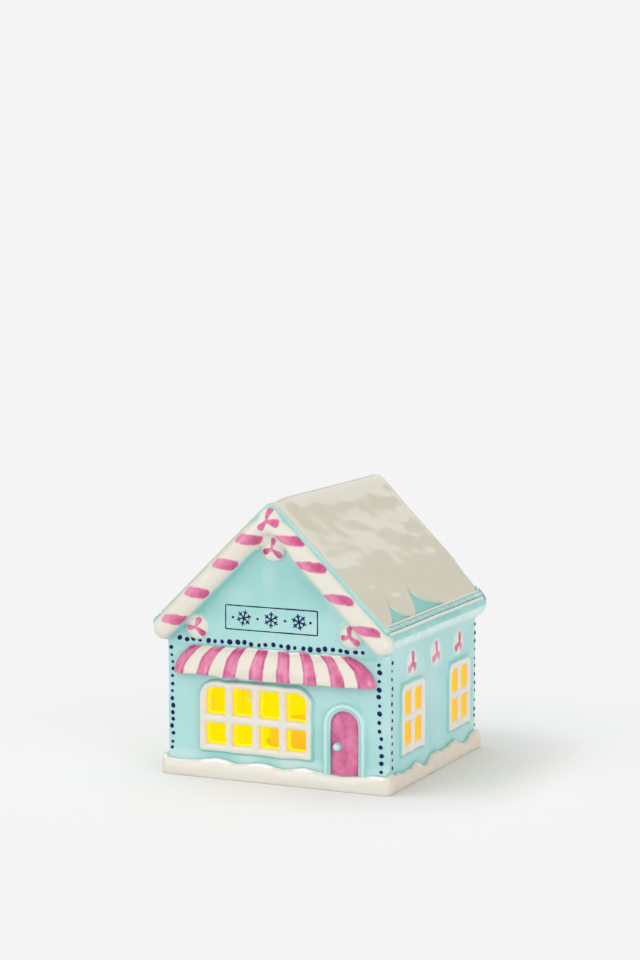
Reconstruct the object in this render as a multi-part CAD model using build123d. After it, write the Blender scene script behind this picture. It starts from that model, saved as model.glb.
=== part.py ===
from build123d import *
from math import atan2, cos, pi, radians, sin, sqrt, tan
import os

# A lit ceramic village house: cast walls, roof and trims luted together, with a battery light in its base.
# Millimetres, front towards -Y, right towards +X, up +Z, origin on the table under the middle.

# Walls: the height is where the eave's cove meets them
wall_width = 92.0
wall_depth = 92.0
wall_height = 53.0
wall_thickness = 3.2
wall_corner_radius = 1.6
cut_overrun = 5.0
lute_clearance = 0.1

# Roof
roof_pitch = 44.4
roof_thickness = 3.4
ridge_radius = 2.4
side_overhang = 4.1
back_overhang = 6.5
roof_corner_radius = 4.0
cove_drop = 5.9
cove_bow_share = 0.8
fascia_height = 1.4
eave_radius = 1.0
rope_radius = 0.9
rope_inset = 2.4

# Snow on the roof
snow_thickness = 1.4
snow_overhang = 0.0
first_notch_depth = 4.8
second_notch_depth = 9.6
first_notch_shares = (0.02, 0.12, 0.215)
second_notch_shares = (0.235, 0.412, 0.568)

# Rake boards and the candy canes in front of them
rake_depth = 2.0
rake_lip = 0.3
rake_inset = 0.8
cane_setback = 7.5
cane_end_inset = 0.5
cane_width = 9.0
cane_depth = 4.5
cane_edge_radius = 3.2

# Peppermints
front_mint_radius = 4.6
side_mint_radius = 5.0
front_mint_depth = 3.2
side_mint_depth = 2.0
mint_edge = 0.9
gable_mint_drop = 12.0
eave_mint_inset = 13.6
eave_mint_drop = 11.5
side_mint_drop = 7.0

# Awning over the shop window and door
awning_drop = 1.9
awning_height = 11.1
awning_inset = 4.0
awning_flare = 8.0
awning_top_depth = 0.9
awning_foot_depth = 4.8
awning_corner_share = 0.9
awning_section_shares = (0.0, 0.2, 0.45, 0.72, 1.0)

# Door
door_inset = 16.7
door_width = 11.0
door_foot = 6.0
door_head_gap = 5.4
door_recess = 1.2
door_panel_depth = 1.0
trim_width = 3.6
trim_proud = 1.3
trim_edge = 0.6
knob_radius = 1.9
knob_depth = 1.5
knob_edge = 0.7
knob_height = 16.5
knob_inset = 2.9

# Shop window, four panes by two
shop_inset = 14.8
shop_door_gap = 4.3
shop_foot = 10.6
shop_head_gap = 2.3
shop_corner_radius = 6.5
shop_foot_radius = 1.5
shop_border = 3.0
shop_columns = 4
shop_rows = 2

# Side windows, two panes by two
side_window_width = 20.6
side_window_foot = 12.4
side_window_head_gap = 2.0
side_window_corner_radius = 4.5
side_window_foot_radius = 1.2
side_window_border = 3.2
side_window_columns = 2
side_window_rows = 2
side_window_inset = 22.2
side_window_middle = 2.0
muntin = 3.4
pane_radius = 0.8
pane_corner_share = 0.6
window_proud = 1.2
window_edge = 0.6

# Snow bank round the foot
bank_projection = 2.8
bank_corner_radius = 4.0
bank_height = 8.4
bank_shoulder = 3.4
bank_crest_projection = 1.0
front_drift_shares = ((0.0, 0.84), (0.12, 0.8), (0.2, 0.74), (0.27, 0.93), (0.37, 0.76), (0.46, 0.94),
                      (0.55, 0.78), (0.64, 0.92), (0.73, 0.77), (0.81, 0.75), (0.9, 0.82), (1.0, 0.86))
side_drift_shares = ((0.0, 0.86), (0.03, 0.94), (0.18, 0.66), (0.31, 0.9), (0.39, 0.46), (0.465, 0.94),
                     (0.6, 0.74), (0.72, 0.98), (0.83, 0.52), (0.93, 0.94), (1.0, 0.86))

# Floor with the hole for the light
floor_foot = 4.5
floor_thickness = 3.2

# Light module: base plate, cap, silicone grip ring
running_clearance = 0.1
module_foot = 1.6
module_plate = 1.4
module_wall = 1.6
module_roof = 1.4
module_headroom = 2.6
module_edge = 0.8
flange_lap = 2.3
grip_height = 2.8
grip_thickness = 1.1

# Button cells and what holds them
cell_radius = 5.8
cell_height = 5.4
cell_clearance = 0.15
cell_count = 3
cell_web = 0.8
contact_thickness = 0.2
board_thickness = 1.2

# Lamp
lamp_radius = 2.5
lamp_flange_radius = 2.9
lamp_flange_height = 1.0
lamp_body_height = 6.0

# Battery door and its screw
door_clearance = 0.25
battery_door_middle = 1.9
battery_door_ledge = 1.2
battery_door_rim = 0.7
screw_radius = 0.9
screw_head_radius = 1.9
screw_head_height = 0.9
screw_length = 5.0
screw_slot_width = 0.5
screw_slot_depth = 0.45
screw_boss_wall = 1.55
screw_boss_gap = 0.4
screw_clearance = 0.05
tab_margin = 0.9

# Slide switch
switch_gap = 1.1
switch_length = 9.0
switch_width = 4.4
switch_height = 4.0
switch_travel = 2.0
slider_length = 3.0
slider_width = 1.8
slider_stand = 0.3
slider_root = 1.2

# Places worked out from the sizes above, the shell first
half_width = wall_width / 2
half_depth = wall_depth / 2
wall_front = -half_depth
slope = tan(radians(roof_pitch))
slope_cos = cos(radians(roof_pitch))
eave_half_width = half_width + side_overhang
fascia_foot = wall_height + cove_drop
snow_peak = fascia_foot + fascia_height + slope * eave_half_width
roof_peak = snow_peak - snow_thickness / slope_cos
ceiling_peak = roof_peak - roof_thickness / slope_cos
snow_edge_half_width = half_width + snow_overhang
rope_half_width = eave_half_width - rope_inset
roof_back = half_depth + back_overhang
rake_front = wall_front - rake_depth
cane_front = rake_front - cane_depth
cane_apex_height = snow_peak - cane_setback
cane_end_half_width = half_width - cane_end_inset
cane_end_height = cane_apex_height - slope * cane_end_half_width

# The front's and the sides' features, from the eave down
gable_mint_height = cane_apex_height - gable_mint_drop
eave_mint_half_width = cane_end_half_width - eave_mint_inset
eave_mint_height = cane_apex_height - slope * eave_mint_half_width - eave_mint_drop
awning_top = wall_height - awning_drop
awning_foot = awning_top - awning_height
awning_foot_half_width = half_width - awning_inset
awning_top_half_width = awning_foot_half_width - awning_flare
door_middle = half_width - door_inset
door_spring = awning_foot - door_head_gap - trim_width - door_width / 2
shop_left = shop_inset - half_width
shop_right = door_middle - door_width / 2 - trim_width - shop_door_gap
shop_top = awning_foot - shop_head_gap
side_mint_height = wall_height - side_mint_drop
side_window_top = side_mint_height - side_mint_radius - side_window_head_gap
side_window_offset = half_depth - side_window_inset

# The light's stack and plan, from its cells out
module_floor = module_foot + module_plate
flange_top = floor_foot - running_clearance
cell_circle = (cell_radius + cell_clearance + cell_web / 2) / sin(pi / cell_count)
cell_foot = module_floor + contact_thickness
cell_top = cell_foot + cell_height
board_foot = cell_top + contact_thickness
board_top = board_foot + board_thickness
module_top = board_top + module_headroom + module_roof
plug_radius = cell_circle + cell_radius + cell_clearance + door_clearance
rim_radius = plug_radius + battery_door_ledge
screw_middle = battery_door_middle + rim_radius + screw_head_radius / 2
screw_boss_radius = screw_radius + screw_boss_wall
tab_radius = screw_head_radius + tab_margin
switch_middle = battery_door_middle - rim_radius - switch_gap - switch_width / 2
module_bore = screw_middle + screw_boss_radius + door_clearance
module_radius = module_bore + module_wall
light_hole_radius = module_radius + grip_thickness + running_clearance
module_flange_radius = light_hole_radius + flange_lap


def along_x(face, left, right):
    return extrude(Plane.YZ.offset(left) * face, amount=right - left)


def along_y(face, front, back):
    return extrude(Plane.XZ.offset(-back) * face, amount=back - front)


def along_z(face, low, high):
    return extrude(Plane.XY.offset(low) * face, amount=high - low)


def disc(radius, low, high, x=0, y=0):
    return along_z(Pos(x, y) * Circle(radius), low, high)


def mirrored(part):
    return mirror(part, about=Plane.YZ)


def gable_under(peak, half):
    # The area under a pair of slopes, from the table up
    eave = peak - slope * half
    return Polygon((-half, 0), (half, 0), (half, eave), (0, peak), (-half, eave), align=None)


def block(left, right, front, back, low, high):
    return Pos((left + right) / 2, (front + back) / 2, (low + high) / 2) * Box(
        right - left, back - front, high - low)


# Walls

def window_outline(width, height, corner, foot_corner):
    outline = Rectangle(width, height)
    outline = fillet(outline.vertices().group_by(Axis.Y)[-1], corner)
    return fillet(outline.vertices().group_by(Axis.Y)[0], foot_corner)


def shop_outline(margin):
    width = shop_right - shop_left + 2 * margin
    height = shop_top - shop_foot + 2 * margin
    outline = window_outline(width, height, shop_corner_radius + margin, shop_foot_radius + margin)
    return Pos((shop_left + shop_right) / 2, (shop_foot + shop_top) / 2) * outline


def side_outline(middle, margin):
    width = side_window_width + 2 * margin
    height = side_window_top - side_window_foot + 2 * margin
    corner = side_window_corner_radius + margin
    outline = window_outline(width, height, corner, side_window_foot_radius + margin)
    return Pos(middle, (side_window_foot + side_window_top) / 2) * outline


def arch(half, foot):
    shaft = Pos(door_middle, (foot + door_spring) / 2) * Rectangle(2 * half, door_spring - foot)
    return shaft + Pos(door_middle, door_spring) * Circle(half)


def end_wall(front, back):
    wall = along_y(gable_under(ceiling_peak, half_width), front, back)
    edges = wall.edges().filter_by(Axis.Z).group_by(Axis.Y)[0 if front < 0 else -1]
    return fillet(edges, wall_corner_radius)


def make_front_wall():
    inner = wall_front + wall_thickness
    wall = end_wall(wall_front, inner)
    wall -= along_y(shop_outline(lute_clearance), wall_front - cut_overrun, inner + cut_overrun)
    return wall - along_y(arch(door_width / 2 + lute_clearance, door_foot - lute_clearance),
                          wall_front - cut_overrun, wall_front + door_recess)


def make_back_wall():
    return end_wall(half_depth - wall_thickness, half_depth)


def side_window_places():
    return [side_window_middle + side * side_window_offset for side in (-1, 1)]


def make_right_wall():
    inner = half_width - wall_thickness
    end = half_depth - wall_thickness
    wall = block(inner, half_width, -end, end, 0, roof_peak)
    wall &= along_y(gable_under(ceiling_peak, half_width), -end, end)
    for middle in side_window_places():
        wall -= along_x(side_outline(middle, lute_clearance), inner - cut_overrun, half_width + cut_overrun)
    return wall


def make_floor():
    inner_x = half_width - wall_thickness
    inner_y = half_depth - wall_thickness
    plate = block(-inner_x, inner_x, -inner_y, inner_y, floor_foot, floor_foot + floor_thickness)
    return plate - disc(light_hole_radius, 0, snow_peak)


# Roof

def roof_half_face():
    # The plate under the snow steps up to a thicker band along the eave
    edge = snow_edge_half_width
    foot = Vector(half_width, wall_height)
    lip = Vector(eave_half_width, fascia_foot)
    chord = lip - foot
    bow = cove_bow_share * atan2(side_overhang, cove_drop)
    sag = Vector(-chord.Y, chord.X) * (tan(bow / 2) / 2)
    cove = ThreePointArc(lip, (lip + foot) / 2 + sag, foot)
    outline = Polyline((half_width, wall_height), (half_width, ceiling_peak - slope * half_width),
                       (0, ceiling_peak), (0, roof_peak), (edge, roof_peak - slope * edge),
                       (edge, snow_peak - slope * edge),
                       (eave_half_width, snow_peak - slope * eave_half_width), lip)
    return make_face(outline + cove)


def roof_plan():
    # The roof seen from above, its two back corners rounded
    plan = Pos(0, (wall_front + roof_back) / 2) * Rectangle(2 * eave_half_width, roof_back - wall_front)
    plan = fillet(plan.vertices().group_by(Axis.Y)[-1], roof_corner_radius)
    return along_z(plan, 0, snow_peak)


def make_roof():
    half = along_y(roof_half_face(), wall_front, roof_back)
    eave = half.edges().filter_by(Axis.Y).sort_by(Axis.X)[-2:].sort_by(Axis.Z)[-1]
    half = fillet(eave, eave_radius)
    return (half + mirrored(half)) & roof_plan()


def notch(shares, depth):
    # A pointed notch in the snow's lower edge, between two round drips
    start, tip, end = (wall_front + share * (roof_back - wall_front) for share in shares)
    edge = snow_edge_half_width
    high = edge - depth
    low = edge + cut_overrun
    left = Spline((start, edge), (tip, high), tangents=((1, 0), (0, -1)))
    right = Spline((tip, high), (end, edge), tangents=((0, 1), (1, 0)))
    return make_face(left + right + Polyline((end, edge), (end, low), (start, low), (start, edge)))


def make_roof_snow():
    peak, foot = snow_peak, snow_edge_half_width
    lift = snow_thickness / slope_cos
    section = Polygon((0, peak - lift), (foot, peak - lift - slope * foot), (foot, peak - slope * foot),
                      (0, peak), align=None)
    half = along_y(section, wall_front, roof_back)
    for shares, depth in ((first_notch_shares, first_notch_depth), (second_notch_shares, second_notch_depth)):
        face = Plane(origin=(0, 0, 0), x_dir=(0, 1, 0), z_dir=(0, 0, -1)) * notch(shares, depth)
        half -= extrude(face, amount=-snow_peak)
    snow = (half + mirrored(half)) & roof_plan()
    ridge = snow.edges().filter_by(Axis.Y).sort_by(Axis.Z)[-1]
    return fillet(ridge, ridge_radius)


def make_rope():
    seat = Plane(origin=(rope_half_width, 0, snow_peak - slope * rope_half_width),
                 x_dir=(slope_cos, 0, -slope * slope_cos), z_dir=(0, -1, 0))
    bead = Circle(rope_radius) & Pos(0, rope_radius / 2) * Rectangle(2 * rope_radius, rope_radius)
    return extrude(seat.offset(-roof_back) * bead, amount=roof_back - wall_front) & roof_plan()


# Rake boards and candy canes

def make_rake_board():
    top = snow_peak + rake_lip / slope_cos
    inner = cane_apex_height - (cane_width / 2 - rake_inset) / slope_cos
    edge = eave_half_width
    half = Polygon((0, inner), (cane_end_half_width, inner - slope * cane_end_half_width),
                   (edge, fascia_foot), (edge, top - slope * edge), (0, top), align=None)
    board = along_y(half + mirrored(half), rake_front, wall_front)
    ridge = board.edges().filter_by(Axis.Y).sort_by(Axis.Z)[-1]
    return fillet(ridge, ridge_radius)


def make_cane():
    # The right-hand cane, mitred at the apex and rounded at its foot
    run = Vector(cane_end_half_width, cane_end_height - cane_apex_height)
    past = Vector(0, cane_apex_height) - run * (cane_width / run.length)
    foot = Vector(cane_end_half_width, cane_end_height)
    bar = along_y(SlotCenterToCenter((foot - past).length, cane_width), 0, cane_depth)
    tilt = Vector(1, 0).get_signed_angle(run, Vector(0, 0, 1))
    middle = (foot + past) / 2
    bar = fillet(bar.faces().sort_by(Axis.Y)[0].edges(), cane_edge_radius)
    bar = Pos(middle.X, cane_front, middle.Y) * Rot(0, -tilt, 0) * bar
    return bar & block(0, eave_half_width, cane_front, rake_front, 0, snow_peak)


# Peppermints

def mint(radius, depth):
    drop = Cylinder(radius, depth, align=(Align.CENTER, Align.CENTER, Align.MIN))
    return chamfer(drop.edges().sort_by(Axis.Z)[-1], mint_edge)


def front_mint(x, z):
    # Tucked under the canes' inner edges
    drop = Plane.XZ.offset(half_depth) * Pos(x, z) * mint(front_mint_radius, front_mint_depth)
    return drop - make_rake_board() - make_cane() - mirrored(make_cane())


def side_mint(place):
    middle = side_window_middle + place * side_window_offset
    drop = mint(side_mint_radius, side_mint_depth)
    return Plane.YZ.offset(half_width) * Pos(middle, side_mint_height) * drop


# Awning

def make_awning():
    sections = []
    for share in awning_section_shares:
        swell = sin(share * pi / 2)
        half = awning_top_half_width + (awning_foot_half_width - awning_top_half_width) * swell
        depth = awning_top_depth + (awning_foot_depth - awning_top_depth) * swell
        face = Rectangle(2 * half, depth, align=(Align.CENTER, Align.MAX))
        face = fillet(face.vertices().group_by(Axis.Y)[0], depth * awning_corner_share)
        height = awning_top + (awning_foot - awning_top) * share
        sections.append(Pos(0, wall_front, height) * face)
    return loft(sections)


# Windows

def panes(left, right, foot, top, border, columns, rows, corner):
    # Pane openings between the border and the muntins, the outer top pair rounded with the frame
    width = (right - left - 2 * border - muntin * (columns - 1)) / columns
    height = (top - foot - 2 * border - muntin * (rows - 1)) / rows
    openings = []
    for row in range(rows):
        for column in range(columns):
            pane = fillet(Rectangle(width, height).vertices(), pane_radius)
            if row == rows - 1 and column in (0, columns - 1):
                pane = Rectangle(width, height)
                outer = pane.vertices().group_by(Axis.Y)[-1].sort_by(Axis.X)[0 if column == 0 else -1]
                pane = fillet(outer, min(corner - border / 2, height * pane_corner_share))
            x = left + border + width / 2 + column * (width + muntin)
            z = foot + border + height / 2 + row * (height + muntin)
            openings.append(Pos(x, z) * pane)
    return openings


def make_shop_window():
    front = wall_front - window_proud
    frame = along_y(shop_outline(0), front, wall_front + wall_thickness)
    frame = chamfer(frame.faces().sort_by(Axis.Y)[0].edges(), window_edge)
    for pane in panes(shop_left, shop_right, shop_foot, shop_top, shop_border,
                      shop_columns, shop_rows, shop_corner_radius):
        frame -= along_y(pane, front - cut_overrun, half_depth)
    return frame


def make_side_window(middle):
    face = half_width + window_proud
    frame = along_x(side_outline(middle, 0), half_width - wall_thickness, face)
    frame = chamfer(frame.faces().sort_by(Axis.X)[-1].edges(), window_edge)
    left = middle - side_window_width / 2
    for pane in panes(left, left + side_window_width, side_window_foot, side_window_top, side_window_border,
                      side_window_columns, side_window_rows, side_window_corner_radius):
        frame -= along_x(pane, 0, face + cut_overrun)
    return frame


# Door

def make_door_panel():
    back = wall_front + door_recess
    return along_y(arch(door_width / 2, door_foot), back - door_panel_depth, back)


def make_door_trim():
    band = arch(door_width / 2 + trim_width, door_foot) - arch(door_width / 2, door_foot)
    trim = along_y(band, wall_front - trim_proud, wall_front)
    trim = chamfer(trim.faces().sort_by(Axis.Y)[0].edges(), trim_edge)
    return trim - make_base_snow()


def make_door_knob():
    face = wall_front + door_recess - door_panel_depth
    knob = Cylinder(knob_radius, knob_depth, align=(Align.CENTER, Align.CENTER, Align.MIN))
    knob = chamfer(knob.edges().sort_by(Axis.Z)[-1], knob_edge)
    x = door_middle - door_width / 2 + knob_inset
    return Plane.XZ.offset(-face) * Pos(x, knob_height) * knob


# Snow bank round the foot

def drift(shares, span):
    points = [((along - 1 / 2) * span, height * bank_height) for along, height in shares]
    crest = Spline(*points)
    low_line = Polyline(points[-1], (span / 2, 0), (-span / 2, 0), points[0])
    return make_face(crest + low_line)


def make_base_snow():
    width = wall_width + 2 * bank_projection
    depth = wall_depth + 2 * bank_projection
    foot = RectangleRounded(width, depth, bank_corner_radius)
    inset = bank_projection - bank_crest_projection
    crest = RectangleRounded(width - 2 * inset, depth - 2 * inset, bank_corner_radius - inset)
    bank = along_z(foot, 0, bank_shoulder)
    bank += loft([Pos(0, 0, bank_shoulder) * foot, Pos(0, 0, bank_height) * crest])
    front = along_y(drift(front_drift_shares, width), -depth / 2, -half_depth)
    side = along_x(drift(side_drift_shares, wall_depth), half_width, width / 2)
    drifts = front + mirror(front, about=Plane.XZ) + side + mirrored(side)
    core = block(-half_width, half_width, -half_depth, half_depth, 0, bank_height)
    return (bank & drifts) - core


# Light module

def make_module_base():
    base = disc(module_flange_radius, module_foot, flange_top)
    base = chamfer(base.edges().sort_by(Axis.Z)[0], module_edge)
    base -= disc(module_bore, module_floor, flange_top)
    base += disc(screw_boss_radius, module_floor, cell_top - screw_boss_gap, y=screw_middle)
    rim_top = module_foot + battery_door_rim
    base -= disc(rim_radius, module_foot, rim_top, y=battery_door_middle)
    base -= disc(tab_radius, module_foot, rim_top, y=screw_middle)
    base -= disc(plug_radius, module_foot, module_floor, y=battery_door_middle)
    base -= disc(screw_radius + screw_clearance, module_foot, module_foot + screw_length + screw_clearance,
                 y=screw_middle)
    slot = Rectangle(slider_length + switch_travel + 2 * door_clearance, slider_width + 2 * door_clearance)
    return base - along_z(Pos(0, switch_middle) * slot, module_foot, module_floor)


def make_module_cap():
    cap = disc(module_radius, flange_top, module_top)
    cap = chamfer(cap.edges().sort_by(Axis.Z)[-1], module_edge)
    cap -= disc(module_bore, flange_top, module_top - module_roof)
    return cap - disc(lamp_radius + running_clearance, 0, snow_peak)


def make_grip_ring():
    ring = disc(light_hole_radius - running_clearance, flange_top, flange_top + grip_height)
    return ring - disc(module_radius, flange_top, flange_top + grip_height)


def cell_places():
    angles = [pi / 2 + 2 * pi * index / cell_count for index in range(cell_count)]
    return [(cell_circle * cos(angle), battery_door_middle + cell_circle * sin(angle)) for angle in angles]


def make_cell_holder():
    holder = disc(module_bore - running_clearance, cell_foot, cell_top)
    for x, y in cell_places():
        holder -= disc(cell_radius + cell_clearance, cell_foot, cell_top, x, y)
    holder -= disc(screw_boss_radius + running_clearance, cell_foot, cell_top, y=screw_middle)
    pocket = Rectangle(switch_length + 2 * running_clearance, switch_width + 2 * running_clearance)
    return holder - along_z(Pos(0, switch_middle) * pocket, cell_foot, cell_top)


def make_cell(x, y):
    cell = disc(cell_radius, cell_foot, cell_top, x, y)
    return chamfer(cell.edges().sort_by(Axis.Z)[-1], contact_thickness)


def contact_plate(low):
    # A three-armed strip that bridges the cells
    plate = disc(cell_radius / 2, low, low + contact_thickness, y=battery_door_middle)
    for x, y in cell_places():
        plate += disc(cell_radius / 2, low, low + contact_thickness, x, y)
        reach = sqrt(x ** 2 + (y - battery_door_middle) ** 2)
        arm = Pos(reach / 2, 0) * Rectangle(reach, cell_radius / 2)
        turn = Vector(1, 0).get_signed_angle(Vector(x, y - battery_door_middle), Vector(0, 0, 1))
        plate += along_z(Pos(0, battery_door_middle) * Rot(0, 0, turn) * arm, low, low + contact_thickness)
    return plate


def make_circuit_board():
    return disc(module_bore - running_clearance, board_foot, board_top)


def make_lamp():
    body_top = board_top + lamp_body_height
    lamp = disc(lamp_flange_radius, board_top, board_top + lamp_flange_height)
    lamp += disc(lamp_radius, board_top, body_top)
    return lamp + Pos(0, 0, body_top) * Sphere(lamp_radius)


def make_switch_body():
    body = along_z(Pos(0, switch_middle) * Rectangle(switch_length, switch_width),
                   module_floor, module_floor + switch_height)
    well = Rectangle(slider_length + switch_travel + 2 * door_clearance, slider_width + 2 * door_clearance)
    return body - along_z(Pos(0, switch_middle) * well, module_floor,
                          module_floor + slider_root + door_clearance)


def make_switch_slider():
    place = Pos(-switch_travel / 2, switch_middle) * Rectangle(slider_length, slider_width)
    return along_z(place, module_foot - slider_stand, module_floor + slider_root)


def make_battery_door():
    rim_top = module_foot + battery_door_rim
    lid = disc(rim_radius - door_clearance, module_foot, rim_top - running_clearance, y=battery_door_middle)
    lid += disc(tab_radius - door_clearance, module_foot, rim_top - running_clearance, y=screw_middle)
    lid += disc(plug_radius - door_clearance, module_foot, module_floor, y=battery_door_middle)
    return lid - disc(screw_radius + screw_clearance, module_foot, module_floor, y=screw_middle)


def make_door_screw():
    head_foot = module_foot - screw_head_height
    screw = disc(screw_head_radius, head_foot, module_foot, y=screw_middle)
    screw += disc(screw_radius, module_foot, module_foot + screw_length, y=screw_middle)
    for turn in (0, 90):
        bar = Rot(0, 0, turn) * Rectangle(2 * screw_head_radius - tab_margin, screw_slot_width)
        screw -= along_z(Pos(0, screw_middle) * bar, head_foot, head_foot + screw_slot_depth)
    return screw


# The pieces, each in its own file

right_wall = make_right_wall()
right_rope = make_rope()
right_cane = make_cane()
pieces = {
    "front_wall": make_front_wall(),
    "back_wall": make_back_wall(),
    "right_wall": right_wall,
    "left_wall": mirrored(right_wall),
    "floor_plate": make_floor(),
    "roof_shell": make_roof(),
    "roof_snow": make_roof_snow(),
    "eave_rope_right": right_rope,
    "eave_rope_left": mirrored(right_rope),
    "rake_board": make_rake_board(),
    "candy_cane_right": right_cane,
    "candy_cane_left": mirrored(right_cane),
    "gable_peppermint": front_mint(0, gable_mint_height),
    "front_peppermint_right": front_mint(eave_mint_half_width, eave_mint_height),
    "front_peppermint_left": front_mint(-eave_mint_half_width, eave_mint_height),
    "awning": make_awning(),
    "shop_window": make_shop_window(),
    "door_panel": make_door_panel(),
    "door_trim": make_door_trim(),
    "door_knob": make_door_knob(),
    "base_snow": make_base_snow(),
    "module_base": make_module_base(),
    "module_cap": make_module_cap(),
    "grip_ring": make_grip_ring(),
    "cell_holder": make_cell_holder(),
    "cell_contact": contact_plate(cell_top),
    "circuit_board": make_circuit_board(),
    "led_lamp": make_lamp(),
    "switch_body": make_switch_body(),
    "switch_slider": make_switch_slider(),
    "battery_door": make_battery_door(),
    "door_contact": contact_plate(module_floor),
    "battery_door_screw": make_door_screw(),
}
for name, middle in zip(("front", "rear"), side_window_places()):
    window = make_side_window(middle)
    pieces["right_window_" + name] = window
    pieces["left_window_" + name] = mirrored(window)
for name, place in (("front", -1), ("middle", 0), ("rear", 1)):
    drop = side_mint(place)
    pieces["right_peppermint_" + name] = drop
    pieces["left_peppermint_" + name] = mirrored(drop)
for index, place in enumerate(cell_places()):
    pieces["button_cell_%d" % (index + 1)] = make_cell(*place)

os.makedirs("parts", exist_ok=True)
for name, piece in pieces.items():
    export_step(piece, "parts/" + name + ".step")
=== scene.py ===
import math
import bpy
import numpy as np
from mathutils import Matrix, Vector


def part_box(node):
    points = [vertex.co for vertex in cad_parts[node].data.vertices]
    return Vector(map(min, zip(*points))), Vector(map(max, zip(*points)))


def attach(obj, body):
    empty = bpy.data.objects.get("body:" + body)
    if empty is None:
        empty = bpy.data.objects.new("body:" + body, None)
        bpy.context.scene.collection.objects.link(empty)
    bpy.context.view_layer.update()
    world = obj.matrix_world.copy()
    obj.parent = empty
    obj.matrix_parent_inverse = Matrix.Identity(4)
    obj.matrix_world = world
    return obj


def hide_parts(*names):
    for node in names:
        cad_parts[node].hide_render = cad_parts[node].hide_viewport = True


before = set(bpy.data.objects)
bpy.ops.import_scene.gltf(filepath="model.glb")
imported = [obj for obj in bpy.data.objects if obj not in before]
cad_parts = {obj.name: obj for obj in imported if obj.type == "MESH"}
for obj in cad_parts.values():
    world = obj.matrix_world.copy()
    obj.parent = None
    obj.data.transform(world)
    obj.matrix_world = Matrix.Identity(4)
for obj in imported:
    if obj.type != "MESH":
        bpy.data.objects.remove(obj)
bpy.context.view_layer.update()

mm = 0.001  # the house is written in millimetres, the studio and the finishes in metres


def nodeBox(node):
    low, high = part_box(node)
    return [c / mm for c in low], [c / mm for c in high]


def linear(hexCode):
    parts = [int(hexCode[i:i + 2], 16) / 255 for i in (0, 2, 4)]
    return tuple(c / 12.92 if c < 0.04045 else ((c + 0.055) / 1.055) ** 2.4 for c in parts)


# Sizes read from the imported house
wallLow, wallHigh = nodeBox("front_wall")
sideLow, sideHigh = nodeBox("right_wall")
roofLow, roofHigh = nodeBox("roof_shell")
halfWidth = wallHigh[0]
wallFront = wallLow[1]
halfDepth = -wallFront
wallThick = wallHigh[1] - wallLow[1]
wallFoot = 0.4  # the walls end this far above the table, inside the snow bank
ceilingPeak = wallHigh[2]
slope = (ceilingPeak - sideHigh[2]) / sideLow[0]
slopeCos = 1 / math.sqrt(1 + slope * slope)
eaveHalf = roofHigh[0]
roofBack = roofHigh[1]
wallTop = roofLow[2]
coatThick, plateThick = 1.4, 3.4
snowEdge = nodeBox("roof_snow")[1][0]
snowPeak = ceilingPeak + (coatThick + plateThick) / slopeCos
platePeak = snowPeak - coatThick / slopeCos


# Fields on a flat face: distances, soft noise, rounded edges

def boxField(u, v, low, high, radiusFoot, radiusTop):
    middle = [(a + b) / 2 for a, b in zip(low, high)]
    r = np.where(v > middle[1], radiusTop, radiusFoot)
    du = np.abs(u - middle[0]) - (high[0] - low[0]) / 2 + r
    dv = np.abs(v - middle[1]) - (high[1] - low[1]) / 2 + r
    return np.hypot(np.maximum(du, 0), np.maximum(dv, 0)) + np.minimum(np.maximum(du, dv), 0) - r


def discField(u, v, middle, radius):
    return np.hypot(u - middle[0], v - middle[1]) - radius


def barField(u, v, start, end, radius):
    su, sv = end[0] - start[0], end[1] - start[1]
    along = np.clip(((u - start[0]) * su + (v - start[1]) * sv) / (su * su + sv * sv), 0, 1)
    return np.hypot(u - start[0] - along * su, v - start[1] - along * sv) - radius


def archField(u, v, middle, half, foot, spring):
    shaft = np.maximum(np.abs(u - middle) - half, foot - v)
    return np.where(v > spring, discField(u, v, (middle, spring), half), shaft)


def outlineField(u, v, points):
    # Signed distance to a closed outline given by its points
    tiny = 1e-12
    best = np.full(u.shape, np.inf)
    inside = np.zeros(u.shape, bool)
    for (au, av), (bu, bv) in zip(points, np.roll(points, -1, axis=0)):
        eu, ev = bu - au, bv - av
        length = eu * eu + ev * ev
        if length < tiny:
            continue
        t = np.clip(((u - au) * eu + (v - av) * ev) / length, 0, 1)
        best = np.minimum(best, (u - au - t * eu) ** 2 + (v - av - t * ev) ** 2)
        crosses = (av > v) != (bv > v)
        inside ^= crosses & (u < au + (v - av) * eu / (ev if abs(ev) > tiny else tiny))
    return np.where(inside, -1, 1) * np.sqrt(best)


noise = {"cells": 64, "startU": 17.3, "startV": 9.1}


def softNoise(u, v, size, seed):
    # Smooth value noise from 0 to 1 on a seeded table
    cells = noise["cells"]
    table = np.random.default_rng(seed).random((cells, cells))
    a, b = np.asarray(u) / size + noise["startU"], np.asarray(v) / size + noise["startV"]
    i, j = np.floor(a).astype(int), np.floor(b).astype(int)
    s, t = a - i, b - j
    s, t = s * s * (3 - 2 * s), t * t * (3 - 2 * t)

    def at(p, q):
        return table[p % cells, q % cells]

    top = at(i, j) * (1 - s) + at(i + 1, j) * s
    low = at(i, j + 1) * (1 - s) + at(i + 1, j + 1) * s
    return top * (1 - t) + low * t


def swing(u, v, size, seed, amount):
    # Soft noise about zero
    return (softNoise(u, v, size, seed) - 0.5) * amount


def ramp(x, low, high):
    t = np.clip((x - low) / (high - low), 0, 1)
    return t * t * (3 - 2 * t)


def fadeOut(distance, reach):
    # 1 on an edge and inside it, fading with the distance outside
    return np.exp(-np.maximum(distance, 0) / reach)


def roundEdge(inset, radius):
    t = np.clip(inset / radius, 0, 1)
    return np.sqrt(np.maximum(0, 1 - (1 - t) ** 2))


def even(value):
    # A channel with one value all over
    return lambda u, v: np.full(u.shape, float(value))


# Meshes

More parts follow.
